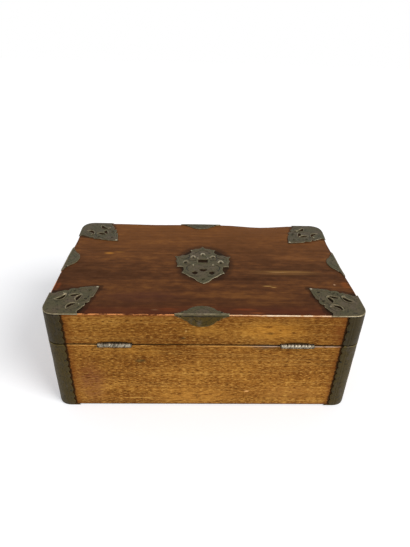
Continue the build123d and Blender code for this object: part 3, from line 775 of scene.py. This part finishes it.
def sheet(name, loops, grain=0.38, thickness=metal):
    """A flat sheet on z = 0 with a rim and piercings, covered in small even faces."""
    curve = bpy.data.curves.new(name, "CURVE")
    curve.dimensions = "2D"
    curve.fill_mode = "BOTH"
    curve.extrude = thickness / 2
    for points in loops:
        spline = curve.splines.new("POLY")
        spline.points.add(len(points) - 1)
        flat = np.column_stack([points, np.zeros(len(points)), np.ones(len(points))])
        spline.points.foreach_set("co", flat.ravel())
        spline.use_cyclic_u = True
    piece = bpy.data.objects.new(name, curve)
    scene.collection.objects.link(piece)
    take(piece)
    bpy.ops.object.convert(target="MESH")
    tidy_faces(piece, 35)
    modify(piece, "REMESH", mode="VOXEL", voxel_size=grain * MM)
    points = points_of(piece)
    points[:, 2] += thickness / 2
    move_points(piece, points)
    return piece


print("sheets are drawn with", BOW_STEPS, "steps to a bow")

# %% [markdown]
# Distance to a drawn line is the chaser's main tool: it gives ridges, hollows, rims and the
# wear along every edge. A relief is then a table of such shapes, each with its height, and
# sunk where that is below 0. The same shapes say where a fitting is rubbed bright.

# %% Relief
WAVE = 0.08                      # height of the waves that beating leaves, in millimetres
WORN_DOWN = 0.22                 # how far rims and lips are worn down, in millimetres
FULLY_RAISED = 0.45              # relief that counts as fully worn or fully dirty
FAR = 1.0                        # further than anything on the box, in metres


def distance_to(u, v, points, closed=False):
    """Distance of each place to a line through points."""
    ends = np.roll(points, -1, axis=0) if closed else points[1:]
    starts = points if closed else points[:-1]
    nearest = np.full(len(u), FAR)
    for (ax, ay), (bx, by) in zip(starts, ends):
        dx, dy = bx - ax, by - ay
        share = np.clip(((u - ax) * dx + (v - ay) * dy) / (dx * dx + dy * dy + 1e-18), 0, 1)
        nearest = np.minimum(nearest, np.hypot(u - ax - share * dx, v - ay - share * dy))
    return nearest


def fade(distance, reach):
    """1 at no distance, 0 at the reach and beyond, rounded at both ends."""
    share = np.clip(1 - distance / (reach * MM), 0, 1)
    return share * share * (3 - 2 * share)


def ridge(u, v, width, *points):
    """A raised line along one bow."""
    return beside(u, v, line(points), width)


def beside(u, v, points, width):
    """The places beside a line through points."""
    return fade(distance_to(u, v, points), width)


def lip(u, v, hole, out, width):
    """A raised line round a piercing."""
    return fade(abs(distance_to(u, v, loop(*hole), closed=True) - out * MM), width)


def dome(u, v, centre, radius, stretch=1.0):
    """A round boss, 1 in the middle, with steep sides."""
    across = np.hypot((u - centre[0] * MM) / radius, (v - centre[1] * MM) / (radius * stretch)) / MM
    return np.sqrt(np.clip(1 - across ** 2, 0, 1))


def ring(u, v, centre, radius, width):
    """A raised ring."""
    away = np.hypot(u - centre[0] * MM, v - centre[1] * MM)
    return fade(abs(away - radius * MM), width)


def rows_of(u, v, table):
    return [height * shape(u, v, *sizes) for height, shape, *sizes in table]


def carve(u, v, table):
    """The sum of all shapes in a table."""
    return np.sum(rows_of(u, v, table), axis=0)


def brightest(u, v, table):
    """The highest of all shapes in a table."""
    return np.max(rows_of(u, v, table), axis=0)


def unevenness(points, size, seed):
    """Slow waves over a piece, from -1 to 1, different for each seed."""
    scale = 1 / (size * MM)
    return np.array([noise.noise(Vector(point) * scale + Vector((seed, seed, seed))) for point in points])


def chase(piece, loops, relief, seed, highest=0.85, glints=None):
    """Raises the relief on the outer side and notes wear and painted highlights, and dirt and painted
    shade.
    """
    points = points_of(piece)
    u, v, height = points.T
    outer = np.clip(height / metal, 0, 1)
    raised = np.minimum(relief(u, v), highest)
    edge, *holes = [distance_to(u, v, drawn, closed=True) for drawn in loops]
    inner_edge = np.min([np.full(len(u), FAR), *holes], axis=0)
    points[:, 2] += outer * (raised + unevenness(points, 7, seed) * WAVE) * MM
    points[:, 2] -= outer * fade(np.minimum(edge, inner_edge), 0.5) * WORN_DOWN * MM
    move_points(piece, points)
    level = np.clip(raised / FULLY_RAISED, -1, 1)
    worn = fade(edge, 1.3) * 0.6 + fade(inner_edge, 0.7) * 0.35 + np.clip(level, 0, 1) * 0.42
    # the glints are painted highlights, laid over the wear
    if glints:
        worn = np.maximum(np.minimum(worn, 0.78), glints(u, v))
    note(piece, "worn", outer * worn)
    note(piece, "dirt", np.clip(-level, 0, 1) + (1 - outer) * 0.5)


def beat(flat, size, depth, seed, highest):
    """The same sheet beaten a little differently, and nowhere thicker than the model has it."""
    beaten = flat.copy()
    beaten[:, 2] += np.clip(flat[:, 2] / metal, 0, 1) * unevenness(flat, size, seed) * depth * MM
    beaten[:, 2] = np.minimum(beaten[:, 2], metal + highest * MM)
    return beaten


print("relief tools ready")

# %% [markdown]
# The shield in the middle of the lid is pierced with a window, a small slot and two leaves.
# Round the window stand a frame, two small drops and a ring of small hoods, two of them over
# the side pins. It is drawn with its crown up and laid down with its point towards the hinges.
# What is the same on both sides is written once and carved twice. The tables of glints say
# where highlights are painted on them: the hoods' crowns, the lower rims and the drops.

# %% The shield
SHIELD_TIP = 41.4
SHIELD_EDGE = chain(
    (0, 36.6), (3.2, 32.2), (8.0, 31.2), (11.4, 29.0), (14.6, 28.6), (12.8, 25.0), (13.6, 21.2),
    (18.0, 16.8), (22.6, 16.6), (26.4, 13.6), (31.2, 14.0), (28.6, 8.6), (29.6, 4.2),
    (27.8, -1.6), (27.8, -8.4), (24.8, -8.2), (21.8, -8.4), (20.6, -14.6), (22.6, -20.8),
    (17.6, -24.6), (14.8, -28.4), (11.6, -30.0), (8.6, -33.2), (5.2, -37.8), (0, -SHIELD_TIP))
WINDOW = chain((-5.15, -0.1), (0, -0.1), (5.15, -0.1), (5.15, 3.2), (5.15, 6.5),
               (0, 6.5), (-5.15, 6.5), (-5.15, 3.2), (-5.15, -0.1))
SLOT = chain((-4.2, -14.4), (-2.2, -13.0), (0, -14.0), (2.2, -13.0), (4.2, -14.4),
             (2.6, -17.0), (0, -18.2), (-2.6, -17.0), (-4.2, -14.4))
LEAF = chain((5.6, -20.6), (9.2, -17.8), (12.2, -21.0), (8.6, -24.2), (5.6, -20.6))
# A hood's shine is the strength of the painted highlight on its crown.
HOODS = (                        # middle, foot, half width, height and shine of each small hood
    (0, 15.4, 2.3, 4.4, 1.0),
    (-10.6, 9.8, 2.3, 4.2, 1.0),
    (11.2, 10.4, 3.0, 3.4, 0.96),
    (-18.6, -1.2, 2.6, 4.4, 0.82),
    (19.3, -1.2, 2.7, 4.6, 1.0),
)
SHIELD_MIDDLE = (
    (0.5, lip, WINDOW, 1.0, 1.0),
    (0.35, ridge, 1.0, (-5.5, 11.0), (0, 14.6), (5.5, 11.0)),
    (-0.4, ridge, 0.9, (-8.4, 20.4), (0, 27.0), (8.4, 20.4)),
    (0.4, ring, (0, -33.6), 2.2, 0.8),
    (-0.6, dome, (0, -33.6), 1.5, 1.5),
)
SHIELD_SIDE = (
    (0.35, ridge, 0.9, (11.6, 26.2), (5.0, 27.2), (0, 32.4)),
    (0.55, dome, (5.6, 8.9), 1.2, 1.3),
    (0.5, dome, (10.6, -5.6), 1.4, 2.2),
    (0.4, ridge, 1.0, (24.0, 12.0), (27.2, 7.6), (25.6, -5.4)),
    (-0.5, ridge, 0.9, (15.4, 16.4), (15.8, 10.6), (23.4, 7.6)),
    (-0.45, ridge, 0.9, (13.4, -5.0), (17.4, -9.8), (15.6, -17.4)),
    (-0.4, ridge, 1.0, (8.0, 4.6), (14.6, 4.8), (15.0, 11.0)),
    (0.35, ridge, 0.9, (3.0, -19.2), (7.6, -16.4), (13.2, -18.2)),
    (-0.35, ridge, 0.8, (4.4, -28.2), (11.2, -27.0), (16.4, -22.2)),
)


def hood_line(out, low, half, high):
    """The bow of one small hood."""
    return (out - half, low), (out, low + high), (out + half, low)


def lit_hood(u, v, out, low, half, high):
    """The painted highlight of a hood, brightest at its crown."""
    crown = 0.8 + 0.2 * np.clip((v / MM - low) / high, 0, 1)
    return crown * ridge(u, v, 2.1, *hood_line(out, low + 0.5, half, high))


HOOD_RIDGES = tuple((0.65, ridge, 1.6, *hood_line(*sizes)) for *sizes, _ in HOODS)
HOOD_HOLLOWS = tuple(
    (-0.5, dome, (out, low + high * 0.2), half * 0.5, 1.2) for out, low, half, high, _ in HOODS)
# The glint tables are painted highlights: one lobe of the crown, the hoods, the lower rims and the drops.
MIDDLE_GLINTS = ((0.86, dome, (-12.8, 26.6), 1.7), *((shine, lit_hood, *sizes) for *sizes, shine in HOODS))
SIDE_GLINTS = (
    (0.94, beside, loop(SHIELD_EDGE[7]), 1.1),
    (0.94, beside, line(*SHIELD_EDGE[9:]), 1.1),
    (0.92, dome, (5.4, 8.9), 1.1, 1.2),
    (0.92, dome, (10.6, -5.4), 1.0, 1.9),
)


def shield_relief(u, v):
    middle = carve(u, v, SHIELD_MIDDLE + HOOD_RIDGES + HOOD_HOLLOWS)
    return middle + carve(u, v, SHIELD_SIDE) + carve(-u, v, SHIELD_SIDE)


def shield_glints(u, v):
    return np.maximum(brightest(u, v, MIDDLE_GLINTS), brightest(abs(u), v, SIDE_GLINTS))


def round_hole(x, y, radius):
    """A small hole as four bows."""
    turns = [math.pi / 4 * step for step in range(9)]
    return chain(*((x + radius * math.cos(turn), y + radius * math.sin(turn)) for turn in turns))


def make_shield():
    rim = SHIELD_EDGE + flip(SHIELD_EDGE)
    holes = (WINDOW, SLOT, LEAF, flip(LEAF), round_hole(-27.2, 10.2, 0.9))
    loops = [loop(*bows) for bows in (rim, *holes)]
    piece = sheet("shield", loops)
    chase(piece, loops, shield_relief, 3.1, glints=shield_glints)
    low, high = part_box("lid_centre_plate")
    middle = np.array([(low.x + high.x) / 2, high.y - SHIELD_TIP * MM, lid_top])
    move_points(piece, middle + points_of(piece) * [-1, -1, 1])
    tidy_faces(piece)
    fit(piece, "lid", PLATE_METAL, "lid_centre_plate")


make_shield()

# %% [markdown]
# Each corner plate covers one corner of the lid and rolls a little over its edge, where a
# highlight is painted along it. Slits beside the arms and two that point at the tip like an
# arrow show the wood, each with a raised lip, and round bosses stand between them; the lips,
# one boss and the tip carry painted highlights too. One plate is modelled and copied, each
# copy with its own mesh, turned to its corner and beaten a little differently.

# %% Corner plates
CORNERS = [(f"{side}_{end}", x, y) for side, y in (("front", -1), ("back", 1))
           for end, x in (("left", -1), ("right", 1))]
PLATE_REACH = 46.2               # the pattern's size, to which each plate is then stretched
PLATE_SIDE = 35.2                # where an arm meets the edge of the lid
PLATE_ARM = chain(
    (PLATE_SIDE, 0), (33.4, 3.4), (34.0, 6.6), (35.8, 9.0), (36.8, 12.0), (38.6, 14.6), (37.2, 17.8),
    (41.4, 19.8), (41.2, 26.6), (42.6, 27.0), (43.8, 28.4), (45.2, 37.0), (PLATE_REACH, PLATE_REACH))
SLIT = chain((22.8, 8.6), (23.8, 15.2), (31.2, 16.8), (26.6, 13.0), (22.8, 8.6))
ARROW = chain((20.8, 29.4), (25.8, 28.0), (30.6, 31.9), (26.0, 31.6), (20.8, 29.4))
OUTER_RADIUS = (corner_radius + metal) / MM
NEAREST = OUTER_RADIUS * (1 - math.sqrt(0.5))
CORNER_BOW = chain((0, OUTER_RADIUS), (NEAREST, NEAREST), (OUTER_RADIUS, 0))
CORNER_LINE = np.vstack([(0, PLATE_SIDE * MM), line(*CORNER_BOW), (PLATE_SIDE * MM, 0)])
PLATE_PINS = ((38.6, 38.6), (24.0, 37.2), (37.2, 24.0))
PLATE_MIDDLE = (
    (0.25, dome, (24.5, 24.5), 3.4),
    *((0.4, ring, pin, 2.2, 0.9) for pin in PLATE_PINS),
    *((-0.4, dome, pin, 1.4) for pin in PLATE_PINS),
)
PLATE_HALF = (                   # on both sides of the corner's diagonal
    (0.4, lip, SLIT, 0.9, 0.9),
    (0.3, lip, ARROW, 0.8, 0.8),
    (0.65, dome, (15.5, 31.5), 1.9),
    (0.5, dome, (33.0, 14.0), 1.2),
    (-0.4, ridge, 0.8, (33.6, 20.4), (38.0, 22.0), (38.8, 29.0)),
    (0.4, ridge, 0.9, (40.6, 29.4), (42.2, 36.0), (43.0, 42.6)),
    (-0.35, ridge, 0.8, (12.0, 20.0), (17.6, 25.0), (18.6, 33.6)),
    (-0.3, ridge, 0.7, (26.0, 6.4), (31.0, 8.6), (34.6, 13.0)),
)
# Painted highlights: the tip, the rolled rim, one boss and the lips of the slits.
PLATE_GLINTS = (
    (1.0, dome, (44.6, 44.6), 1.7),
    (0.92, beside, CORNER_LINE, 1.3),
    (0.9, dome, (33.0, 14.6), 0.9),
    (0.87, lip, SLIT, 0.7, 0.6),
    (0.87, lip, ARROW, 0.7, 0.6),
)


def plate_relief(u, v):
    return carve(u, v, PLATE_MIDDLE + PLATE_HALF) + carve(v, u, PLATE_HALF)


def plate_glints(u, v):
    return np.maximum(brightest(u, v, PLATE_GLINTS), brightest(v, u, PLATE_GLINTS))


def rolled_over(points):
    """The plate with its rim at the lid's edge bent down and rounded off."""
    near = beside(points[:, 0], points[:, 1], CORNER_LINE, 1.8)
    return points - np.outer(near ** 2, (0, 0, 0.5 * MM))


def at_corner(points, x, y, height, stretch=1.0):
    """A flat sheet drawn from its corner, turned to one corner of the box."""
    corner = np.array([x * (half_width + metal), y * (half_depth + metal), height])
    return corner + points * [-x * stretch, -y * stretch, 1]


def make_corner_plates():
    rim = chain((0, PLATE_SIDE), (0, 24), (0, OUTER_RADIUS)) + CORNER_BOW
    rim += chain((OUTER_RADIUS, 0), (24, 0), (PLATE_SIDE, 0)) + PLATE_ARM + flip(PLATE_ARM, "diagonal")
    holes = (SLIT, flip(SLIT, "diagonal"), ARROW, flip(ARROW, "diagonal"))
    loops = [loop(*bows) for bows in (rim, *holes)]
    first = sheet("corner_plate", loops)
    chase(first, loops, plate_relief, 8.7, glints=plate_glints)
    flat = rolled_over(points_of(first))
    for number, (corner, x, y) in enumerate(CORNERS):
        piece = copy_of(first, "corner_plate_" + corner)
        low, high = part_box("lid_" + piece.name)
        beaten = beat(flat, 11, 0.12, 5.0 + number, 0.95)
        move_points(piece, at_corner(beaten, x, y, lid_top, (high.x - low.x) / PLATE_REACH / MM))
        tidy_faces(piece)
        fit(piece, "lid", PLATE_METAL, "lid_" + piece.name)
    bpy.data.objects.remove(first)


make_corner_plates()

# %% [markdown]
# An edge mount is one piece of sheet folded over the edge of the lid, with the same bracket
# shape above and below the fold: two small lobes and a dome between them. It is chased flat,
# with lines that follow the dome, and then folded by moving its points round the edge's arc.

# %% Edge mounts
MOUNT_HALF = 24.5
MOUNT_DEPTH = 13.0
MOUNT_EDGE = chain(
    (MOUNT_HALF, 0), (MOUNT_HALF + 0.8, 1.0), (MOUNT_HALF - 0.6, 1.6), (19.4, 2.8), (15.6, 6.0),
    (14.2, 6.2), (12.8, 7.6), (7.4, 11.6), (0, MOUNT_DEPTH))
FOLD_HALF = arris_radius * math.pi / 4
MOUNTS = (                       # side, turn in degrees and distance of its edge from the middle
    ("front", 0, half_depth),
    ("back", 180, half_depth),
    ("left", 270, half_width),
    ("right", 90, half_width),
)
MOUNT_FACE = (                   # the same above and below the fold
    (-0.35, ridge, 0.7, (-15.4, 5.0), (0, 15.6), (15.4, 5.0)),
    (0.3, ridge, 0.8, (-12.6, 3.4), (0, 12.0), (12.6, 3.4)),
    (-0.3, ridge, 0.7, (-8.6, 2.6), (0, 8.2), (8.6, 2.6)),
    *((0.4, ring, (out, 3.2), 1.8, 0.8) for out in (-18, 18)),
    *((0.3, dome, (out, 1.4), 1.0) for out in (-21.6, 21.6)),
)


def mount_relief(u, v):
    fold_lines = 0.35 * fade(abs(v - 0.5 * MM), 0.8) - 0.6 * fade(abs(v + 1.3 * MM), 0.8)
    return carve(u, v, MOUNT_FACE) + carve(u, -v, MOUNT_FACE) + fold_lines


def mount_glints(u, v):
    """A painted highlight along the fold, where it meets the top."""
    return 0.85 * fade(abs(v - 0.5 * MM), 0.7)


def fold(points, depth):
    """Folds a flat sheet over an edge at y = -depth: v above 0 lies on top, below 0 it hangs down."""
    u, v, height = points.T
    angle = math.pi / 4 - np.clip(-v, -FOLD_HALF, FOLD_HALF) / arris_radius
    reach = arris_radius + height
    y = -depth + arris_radius - reach * np.cos(angle) + np.clip(v - FOLD_HALF, 0, FAR)
    z = lid_top - arris_radius + reach * np.sin(angle) - np.clip(-v - FOLD_HALF, 0, FAR)
    return np.column_stack([u, y, z])


def make_edge_mounts():
    rim = MOUNT_EDGE + flip(MOUNT_EDGE)
    loops = [loop(*rim, *flip(rim, "top to bottom"))]
    first = sheet("edge_mount", loops)
    chase(first, loops, mount_relief, 12.3, highest=0.3, glints=mount_glints)
    flat = points_of(first)
    for number, (side, turn, depth) in enumerate(MOUNTS):
        piece = copy_of(first, "edge_mount_" + side)
        low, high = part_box("lid_" + piece.name)
        cos, sin = math.cos(math.radians(turn)), math.sin(math.radians(turn))
        spin = [[cos, sin, 0], [-sin, cos, 0], [0, 0, 1]]
        placed = fold(beat(flat, 11, 0.1, 40.0 + number, 0.37), depth) @ spin
        along = 0 if side in ("front", "back") else 1
        placed[:, along] += (low[along] + high[along]) / 2
        move_points(piece, placed)
        tidy_faces(piece)
        fit(piece, "lid", PLATE_METAL, "lid_" + piece.name)
    bpy.data.objects.remove(first)


make_edge_mounts()

# %% [markdown]
# A corner strap is a band bent round the upright corner, with an uneven scalloped edge on both
# faces. Inside each scallop sits a small shell, and a raised cord runs beside them. It is drawn
# flat, chased, and bent by moving its points round the corner's arc. The straps of the base
# end in a foot plate turned in under the box, and a highlight is painted along their upper edge.

# %% Corner straps
SCALLOP = 9.2
SCALLOP_DEPTH = 1.7
ARC_HALF = corner_radius * math.pi / 4
STRAP_REACH = (ARC_HALF + strap_width - corner_radius) / MM
SHELL_OUT = STRAP_REACH - 2.4
CORD_OUT = STRAP_REACH - 5.0
GROOVE_OUT = CORD_OUT - 1.4
FOOT_REACH = 24.0


def strap_bows(low, high):
    """The right edge of a strap, upwards: bulging scallops of uneven width."""
    count = round((high - low) / SCALLOP)
    shifts = [0.16 * math.sin(5.1 * k) if 0 < k < count else 0 for k in range(count + 1)]
    cuts = [low + (high - low) * (k + shift) / count for k, shift in enumerate(shifts)]
    inner = STRAP_REACH - SCALLOP_DEPTH
    return [[(inner, a), (STRAP_REACH, (a + b) / 2), (inner, b)] for a, b in zip(cuts[:-1], cuts[1:])]


def strap_relief(bows, part):
    low, high = bows[0][0][1] * MM, bows[-1][2][1] * MM
    shells = [(0.28, dome, (SHELL_OUT, (start[1] + end[1]) / 2), 1.5, 1.7) for start, _, end in bows]

    def relief(u, v):
        raised = carve(u, v, shells) + carve(-u, v, shells)
        for side in (u, -u):
            raised += 0.26 * fade(abs(side - CORD_OUT * MM), 0.9)
            raised -= 0.22 * fade(abs(side - GROOVE_OUT * MM), 0.7)
        if part == "lid":
            return raised - 0.6 * fade(abs(v - high), 2.2) - 0.4 * fade(abs(v - low), 1.2)
        return raised + 0.3 * fade(abs(v - high), 1.6)
    return relief


def highlight_on_strap_top(u, v):
    """A painted highlight along the upper edge of a base strap."""
    return 0.93 * fade(abs(v - base_top), 0.8)


def bend(points, x, y):
    """Bends a flat strap round one upright corner."""
    u, v, height = points.T
    arc = np.clip(u, -ARC_HALF, ARC_HALF)
    angle = math.pi / 4 - arc / corner_radius
    reach = corner_radius + height
    across = half_width - corner_radius + reach * np.cos(angle) + np.clip(u - arc, -FAR, 0)
    back = half_depth - corner_radius + reach * np.sin(angle) - np.clip(u - arc, 0, FAR)
    return np.column_stack([x * across, y * back, v])


def foot(x, y):
    """The plate under a corner: a rounded triangle."""
    rim = chain((0, FOOT_REACH), (0, 18), (0, OUTER_RADIUS)) + CORNER_BOW
    rim += chain((OUTER_RADIUS, 0), (18, 0), (FOOT_REACH, 0), (11, 11), (0, FOOT_REACH))
    piece = sheet("foot", [loop(*rim)], 0.6, thickness=base_low)
    points = points_of(piece)
    move_points(piece, at_corner(points, x, y, 0))
    note(piece, "worn", np.full(len(points), 0.3))
    note(piece, "dirt", np.full(len(points), 0.2))
    return piece


def make_straps():
    number = 0
    for part, low, high in (("base", base_low, base_top), ("lid", lid_low, lid_top)):
        bows = strap_bows(low / MM, high / MM)
        left = flip(bows)
        top = [bows[-1][2], (0, high / MM), left[0][0]]
        bottom = [left[-1][2], (0, low / MM), bows[0][0]]
        loops = [loop(*bows, top, *left, bottom)]
        first = sheet("strap", loops, 0.55)
        glints = highlight_on_strap_top if part == "base" else None
        chase(first, loops, strap_relief(bows, part), 20.0, highest=0.3, glints=glints)
        flat = points_of(first)
        for corner, x, y in CORNERS:
            number += 1
            piece = copy_of(first, "strap")
            move_points(piece, bend(beat(flat, 13, 0.16, number, 0.37), x, y))
            pieces = [piece] if part == "lid" else [piece, foot(x, y)]
            piece = join(f"{part}_strap_{corner}", pieces)
            tidy_faces(piece)
            fit(piece, part, STRAP_METAL, f"{part}_corner_strap_{corner}")
        bpy.data.objects.remove(first)


make_straps()

# %% [markdown]
# Old boards are never sharp or quite straight. Each board is copied, its loose faces are
# merged, and a small bevel rounds its edges, which is what light catches along the open line.
# The lid has also bowed and worn between its corner plates: its top edge has moved inwards and
# down by up to two millimetres, most of all on the lock side and one end. The copy is bisected
# at even steps first, so that there are points to move. The fittings on the lid follow it.

# %% Worn and bowed boards
BOWED = (                        # side, middle, half length and depth, in millimetres
    ("front", -72, 46, 2.3),
    ("front", 60, 44, 0.6),
    ("left", 0, 70, 1.3),
    ("left", -48, 34, 1.2),
    ("right", -45, 36, 0.9),
)
SIDES = {"front": (1, -1), "back": (1, 1), "left": (0, -1), "right": (0, 1)}
BOW_IN = 26 * MM                 # how far the bowing reaches in from the edge
SINK = 0.6                       # how far the edge sinks for each millimetre that it moves in
CUT_STEP = 12                    # distance of the upright cuts, in millimetres
LEVEL_CUTS = (2, 5, 12, 22)      # and of the level ones below the top
BASE_BOARDS = [f"base_{side}_board" for side in SIDES]
TOP_BOARDS = ["lid_top_board", "lid_veneer"]
LID_BOARDS = [f"lid_{side}_rail" for side in SIDES] + TOP_BOARDS


def bowed(points):
    """The points of a lid piece after years of drying and handling."""
    moved = points.copy()
    high = np.clip((points[:, 2] - lid_low) / (lid_top - lid_low), 0, 1) ** 1.5
    for side, middle, half_length, depth in BOWED:
        axis, way = SIDES[side]
        swell = fade(abs(points[:, 1 - axis] - middle * MM), half_length) * depth * MM
        inward = (half_width, half_depth)[axis] - way * points[:, axis]
        near = np.clip(1 - inward / BOW_IN, 0, 1.05) ** 1.5
        moved[:, axis] -= way * swell * high * near
        moved[:, 2] -= SINK * swell * high * near
    return moved


def bow_with_lid(piece):
    move_points(piece, bowed(points_of(piece)))


def merged_copy(name):
    """A copy of a node with its loose triangles joined up again."""
    piece = bpy.data.objects.new("worn_" + name, nodes[name].data.copy())
    scene.collection.objects.link(piece)
    with editing(piece):
        bpy.ops.mesh.remove_doubles(threshold=0.004 * MM)
        bpy.ops.mesh.dissolve_limited(angle_limit=math.radians(0.4))
    return piece


def round_edges(piece, width, segments=2):
    limit = math.radians(50)
    modify(piece, "BEVEL", width=width * MM, segments=segments, limit_method="ANGLE", angle_limit=limit)


def even_cuts(piece, axis, step):
    """Places and directions of even cuts across one axis of a piece."""
    along = points_of(piece)[:, axis] / MM
    direction = np.eye(3)[axis]
    places = np.arange(math.ceil(along.min() / step) * step, along.max(), step)
    return [(place * MM * direction, direction) for place in places]


def cut_up(piece, planes):
    """Bisects a piece at each plane, so that there are points to move."""
    with editing(piece):
        for place, direction in planes:
            bpy.ops.mesh.select_all(action="SELECT")
            bpy.ops.mesh.bisect(plane_co=place, plane_no=direction)


def make_boards():
    for name in BASE_BOARDS + LID_BOARDS:
        piece = merged_copy(name)
        if name not in TOP_BOARDS:
            round_edges(piece, 0.45)
        if name in LID_BOARDS:
            level = [((0, 0, lid_top - down * MM), (0, 0, 1)) for down in LEVEL_CUTS]
            cut_up(piece, level + even_cuts(piece, 0, CUT_STEP) + even_cuts(piece, 1, CUT_STEP))
            bow_with_lid(piece)
        tidy_faces(piece, 40)
        body = "lid" if name in LID_BOARDS else "base"
        fit(piece, body, finish_of(name), name)


make_boards()
for piece in list(scene.objects):
    if piece.name.startswith(("edge_mount", "corner_plate")):
        bow_with_lid(piece)

# %% [markdown]
# Small round-headed nails hold the fittings. The model tells where each one sits: its nails
# are split into single ones, and the longest side of each one's box is its shank. One nail is
# modelled, a flattened dome on a short square shank, and copied to every place.

# %% Nails
HEAD_RADIUS = 1.25 * MM
HEAD_HEIGHT = 0.55 * MM
SHANK = 5 * MM
NAIL_MIDDLE = (0, 0, 0)


def make_nail():
    bpy.ops.object.select_all(action="DESELECT")
    bpy.ops.mesh.primitive_uv_sphere_add(segments=14, ring_count=10, radius=HEAD_RADIUS)
    nail = bpy.context.object
    with editing(nail):
        bpy.ops.mesh.bisect(plane_co=NAIL_MIDDLE, plane_no=(0, 0, 1), clear_inner=True, use_fill=True)
        bpy.ops.mesh.select_all(action="SELECT")
        bpy.ops.transform.resize(value=(1, 1, HEAD_HEIGHT / HEAD_RADIUS), center_override=NAIL_MIDDLE)
    for face in nail.data.polygons:
        face.select = face.normal.z < -0.9
    with editing(nail, everything=False):
        bpy.ops.mesh.select_mode(type="FACE")
        bpy.ops.mesh.inset(thickness=HEAD_RADIUS * 0.55)
        bpy.ops.mesh.extrude_region_move(TRANSFORM_OT_translate={"value": (0, 0, -SHANK)})
        bpy.ops.transform.resize(value=(0.3, 0.3, 1), center_override=(0, 0, -SHANK))
    tidy_faces(nail, 35)
    return nail


def nail_places(name):
    """Where the heads of a node's nails are, and which way they face."""
    with editing(merged_copy(name)):
        bpy.ops.mesh.separate(type="LOOSE")
    places = []
    for single in list(bpy.context.selected_objects):
        points = points_of(single)
        low, high = points.min(axis=0), points.max(axis=0)
        axis = int(np.argmax(high - low))
        middle = (low + high) / 2
        way = 1 if axis == 2 or middle[axis] > 0 else -1
        middle[axis] = high[axis] if way > 0 else low[axis]
        outward = Vector(way * np.eye(3)[axis])
        places.append((Vector(middle) - outward * HEAD_HEIGHT, outward))
        bpy.data.objects.remove(single)
    return places


def make_nails():
    first = make_nail()
    for body, name in (("base", "base_nails"), ("lid", "lid_nails")):
        nails = []
        for place, outward in nail_places(name):
            nail = copy_of(first, "nail")
            turn = outward.to_track_quat("Z", "Y").to_matrix().to_4x4()
            nail.data.transform(Matrix.Translation(place) @ turn)
            nails.append(nail)
        group = join(body + "_nail_heads", nails)
        if body == "lid":
            bow_with_lid(group)
        fit(group, body, NAIL_METAL, name)
    bpy.data.objects.remove(first)


make_nails()

# %% [markdown]
# The hinges are butts let into the wood, so their barrels alone show from outside. Bevels on
# the copied leaves round the ends of every knuckle. Cuts along the barrel then give it points.
# Drawn in at even steps, they turn it into the row of worn beads that a real barrel becomes,
# and painted shade is noted between the beads, at both ends and on their undersides.

# %% Hinge barrels
BEAD = 3.2 * MM                  # length of one worn bead
BEAD_DEPTH = 0.17                # how far a barrel is worn between two beads, as a share
BARREL_CUT = 0.6


def wear_barrel(piece, radius):
    """Thins the barrel between its beads and notes painted shade there, at its ends and underneath."""
    points = points_of(piece)
    x = points[:, 0]
    y, z = points[:, 1] - hinge_axis.y, points[:, 2] - hinge_axis.z
    share = np.hypot(y, z) / radius
    outside = (share > 0.7) & (share < 1.02)
    wander = unevenness(points * [1, 0, 0], 6, 31.0)
    waist = np.cos((x / BEAD + wander * 1.5 + 0.4 * z / radius) * math.pi) ** 8
    size = 1 - BEAD_DEPTH * waist * outside
    move_points(piece, np.column_stack([x, hinge_axis.y + y * size, hinge_axis.z + z * size]))
    # painted shade on the underside, between the beads and at both ends
    shade_underneath = np.clip(-z / radius - 0.05, 0, 1)
    ends = fade(np.minimum(x - x.min(), x.max() - x), 1.4)
    grime = waist * (0.5 + 0.4 * wander) + shade_underneath * 1.6 + ends * 0.6
    note(piece, "dirt", outside * grime + (1 - outside) * 0.15)


def make_hinges():
    for end in ("left", "right"):
        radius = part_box("hinge_lid_leaf_" + end)[1].y - hinge_axis.y
        for body in ("base", "lid"):
            name = f"hinge_{body}_leaf_{end}"
            piece = merged_copy(name)
            round_edges(piece, 0.4, 3)
            cut_up(piece, even_cuts(piece, 0, BARREL_CUT))
            wear_barrel(piece, radius)
            tidy_faces(piece)
            fit(piece, body, HINGE_METAL, name)


make_hinges()

# %% [markdown]
# The floor and the surround are not part of the box. The floor is a plain white sheet; for the
# camera and for reflections it adds a little light of its own, so that it ends in clean white
# and still shows the soft shadow. The surround lights the box at a low level, which fills the
# shadows, and is plain white where it is seen.

# %% Floor and surround
FLOOR_WHITE = (0.8, 0.8, 0.8, 1)
FLOOR_GLOW = (0.318, 0.322, 0.338, 1)
FLOOR_DOWN = -0.1 * MM           # just under the feet, so that no two faces share a plane
FLOOR_SIZE = 6
SURROUND_LEVEL = 0.5


def make_floor():
    bpy.ops.object.select_all(action="DESELECT")
    bpy.ops.mesh.primitive_plane_add(size=FLOOR_SIZE, location=(0, 0, FLOOR_DOWN))
    floor = bpy.context.object
    floor.name = "floor"
    finish = Finish("floor_white", Roughness=0.9, Specular_IOR_Level=0.0, Emission_Strength=1.0)
    glow = finish.mix((0, 0, 0, 1), FLOOR_GLOW, finish.seen())
    finish.set(Base_Color=FLOOR_WHITE, Emission_Color=glow)
    set_finish(floor, finish.material)
    return floor


def make_surround():
    scene.world = bpy.data.worlds.new("surround")
    scene.world.use_nodes = True
    network = Network(scene.world.node_tree)
    level = SURROUND_LEVEL + network.seen() * (1 - SURROUND_LEVEL)
    light = network.node("ShaderNodeBackground", sockets={"Color": (1, 1, 1, 1), "Strength": level})
    network.node("ShaderNodeOutputWorld", sockets={"Surface": light}, output=None)
    return scene.world


print("stage:", make_floor().name, make_surround().name)
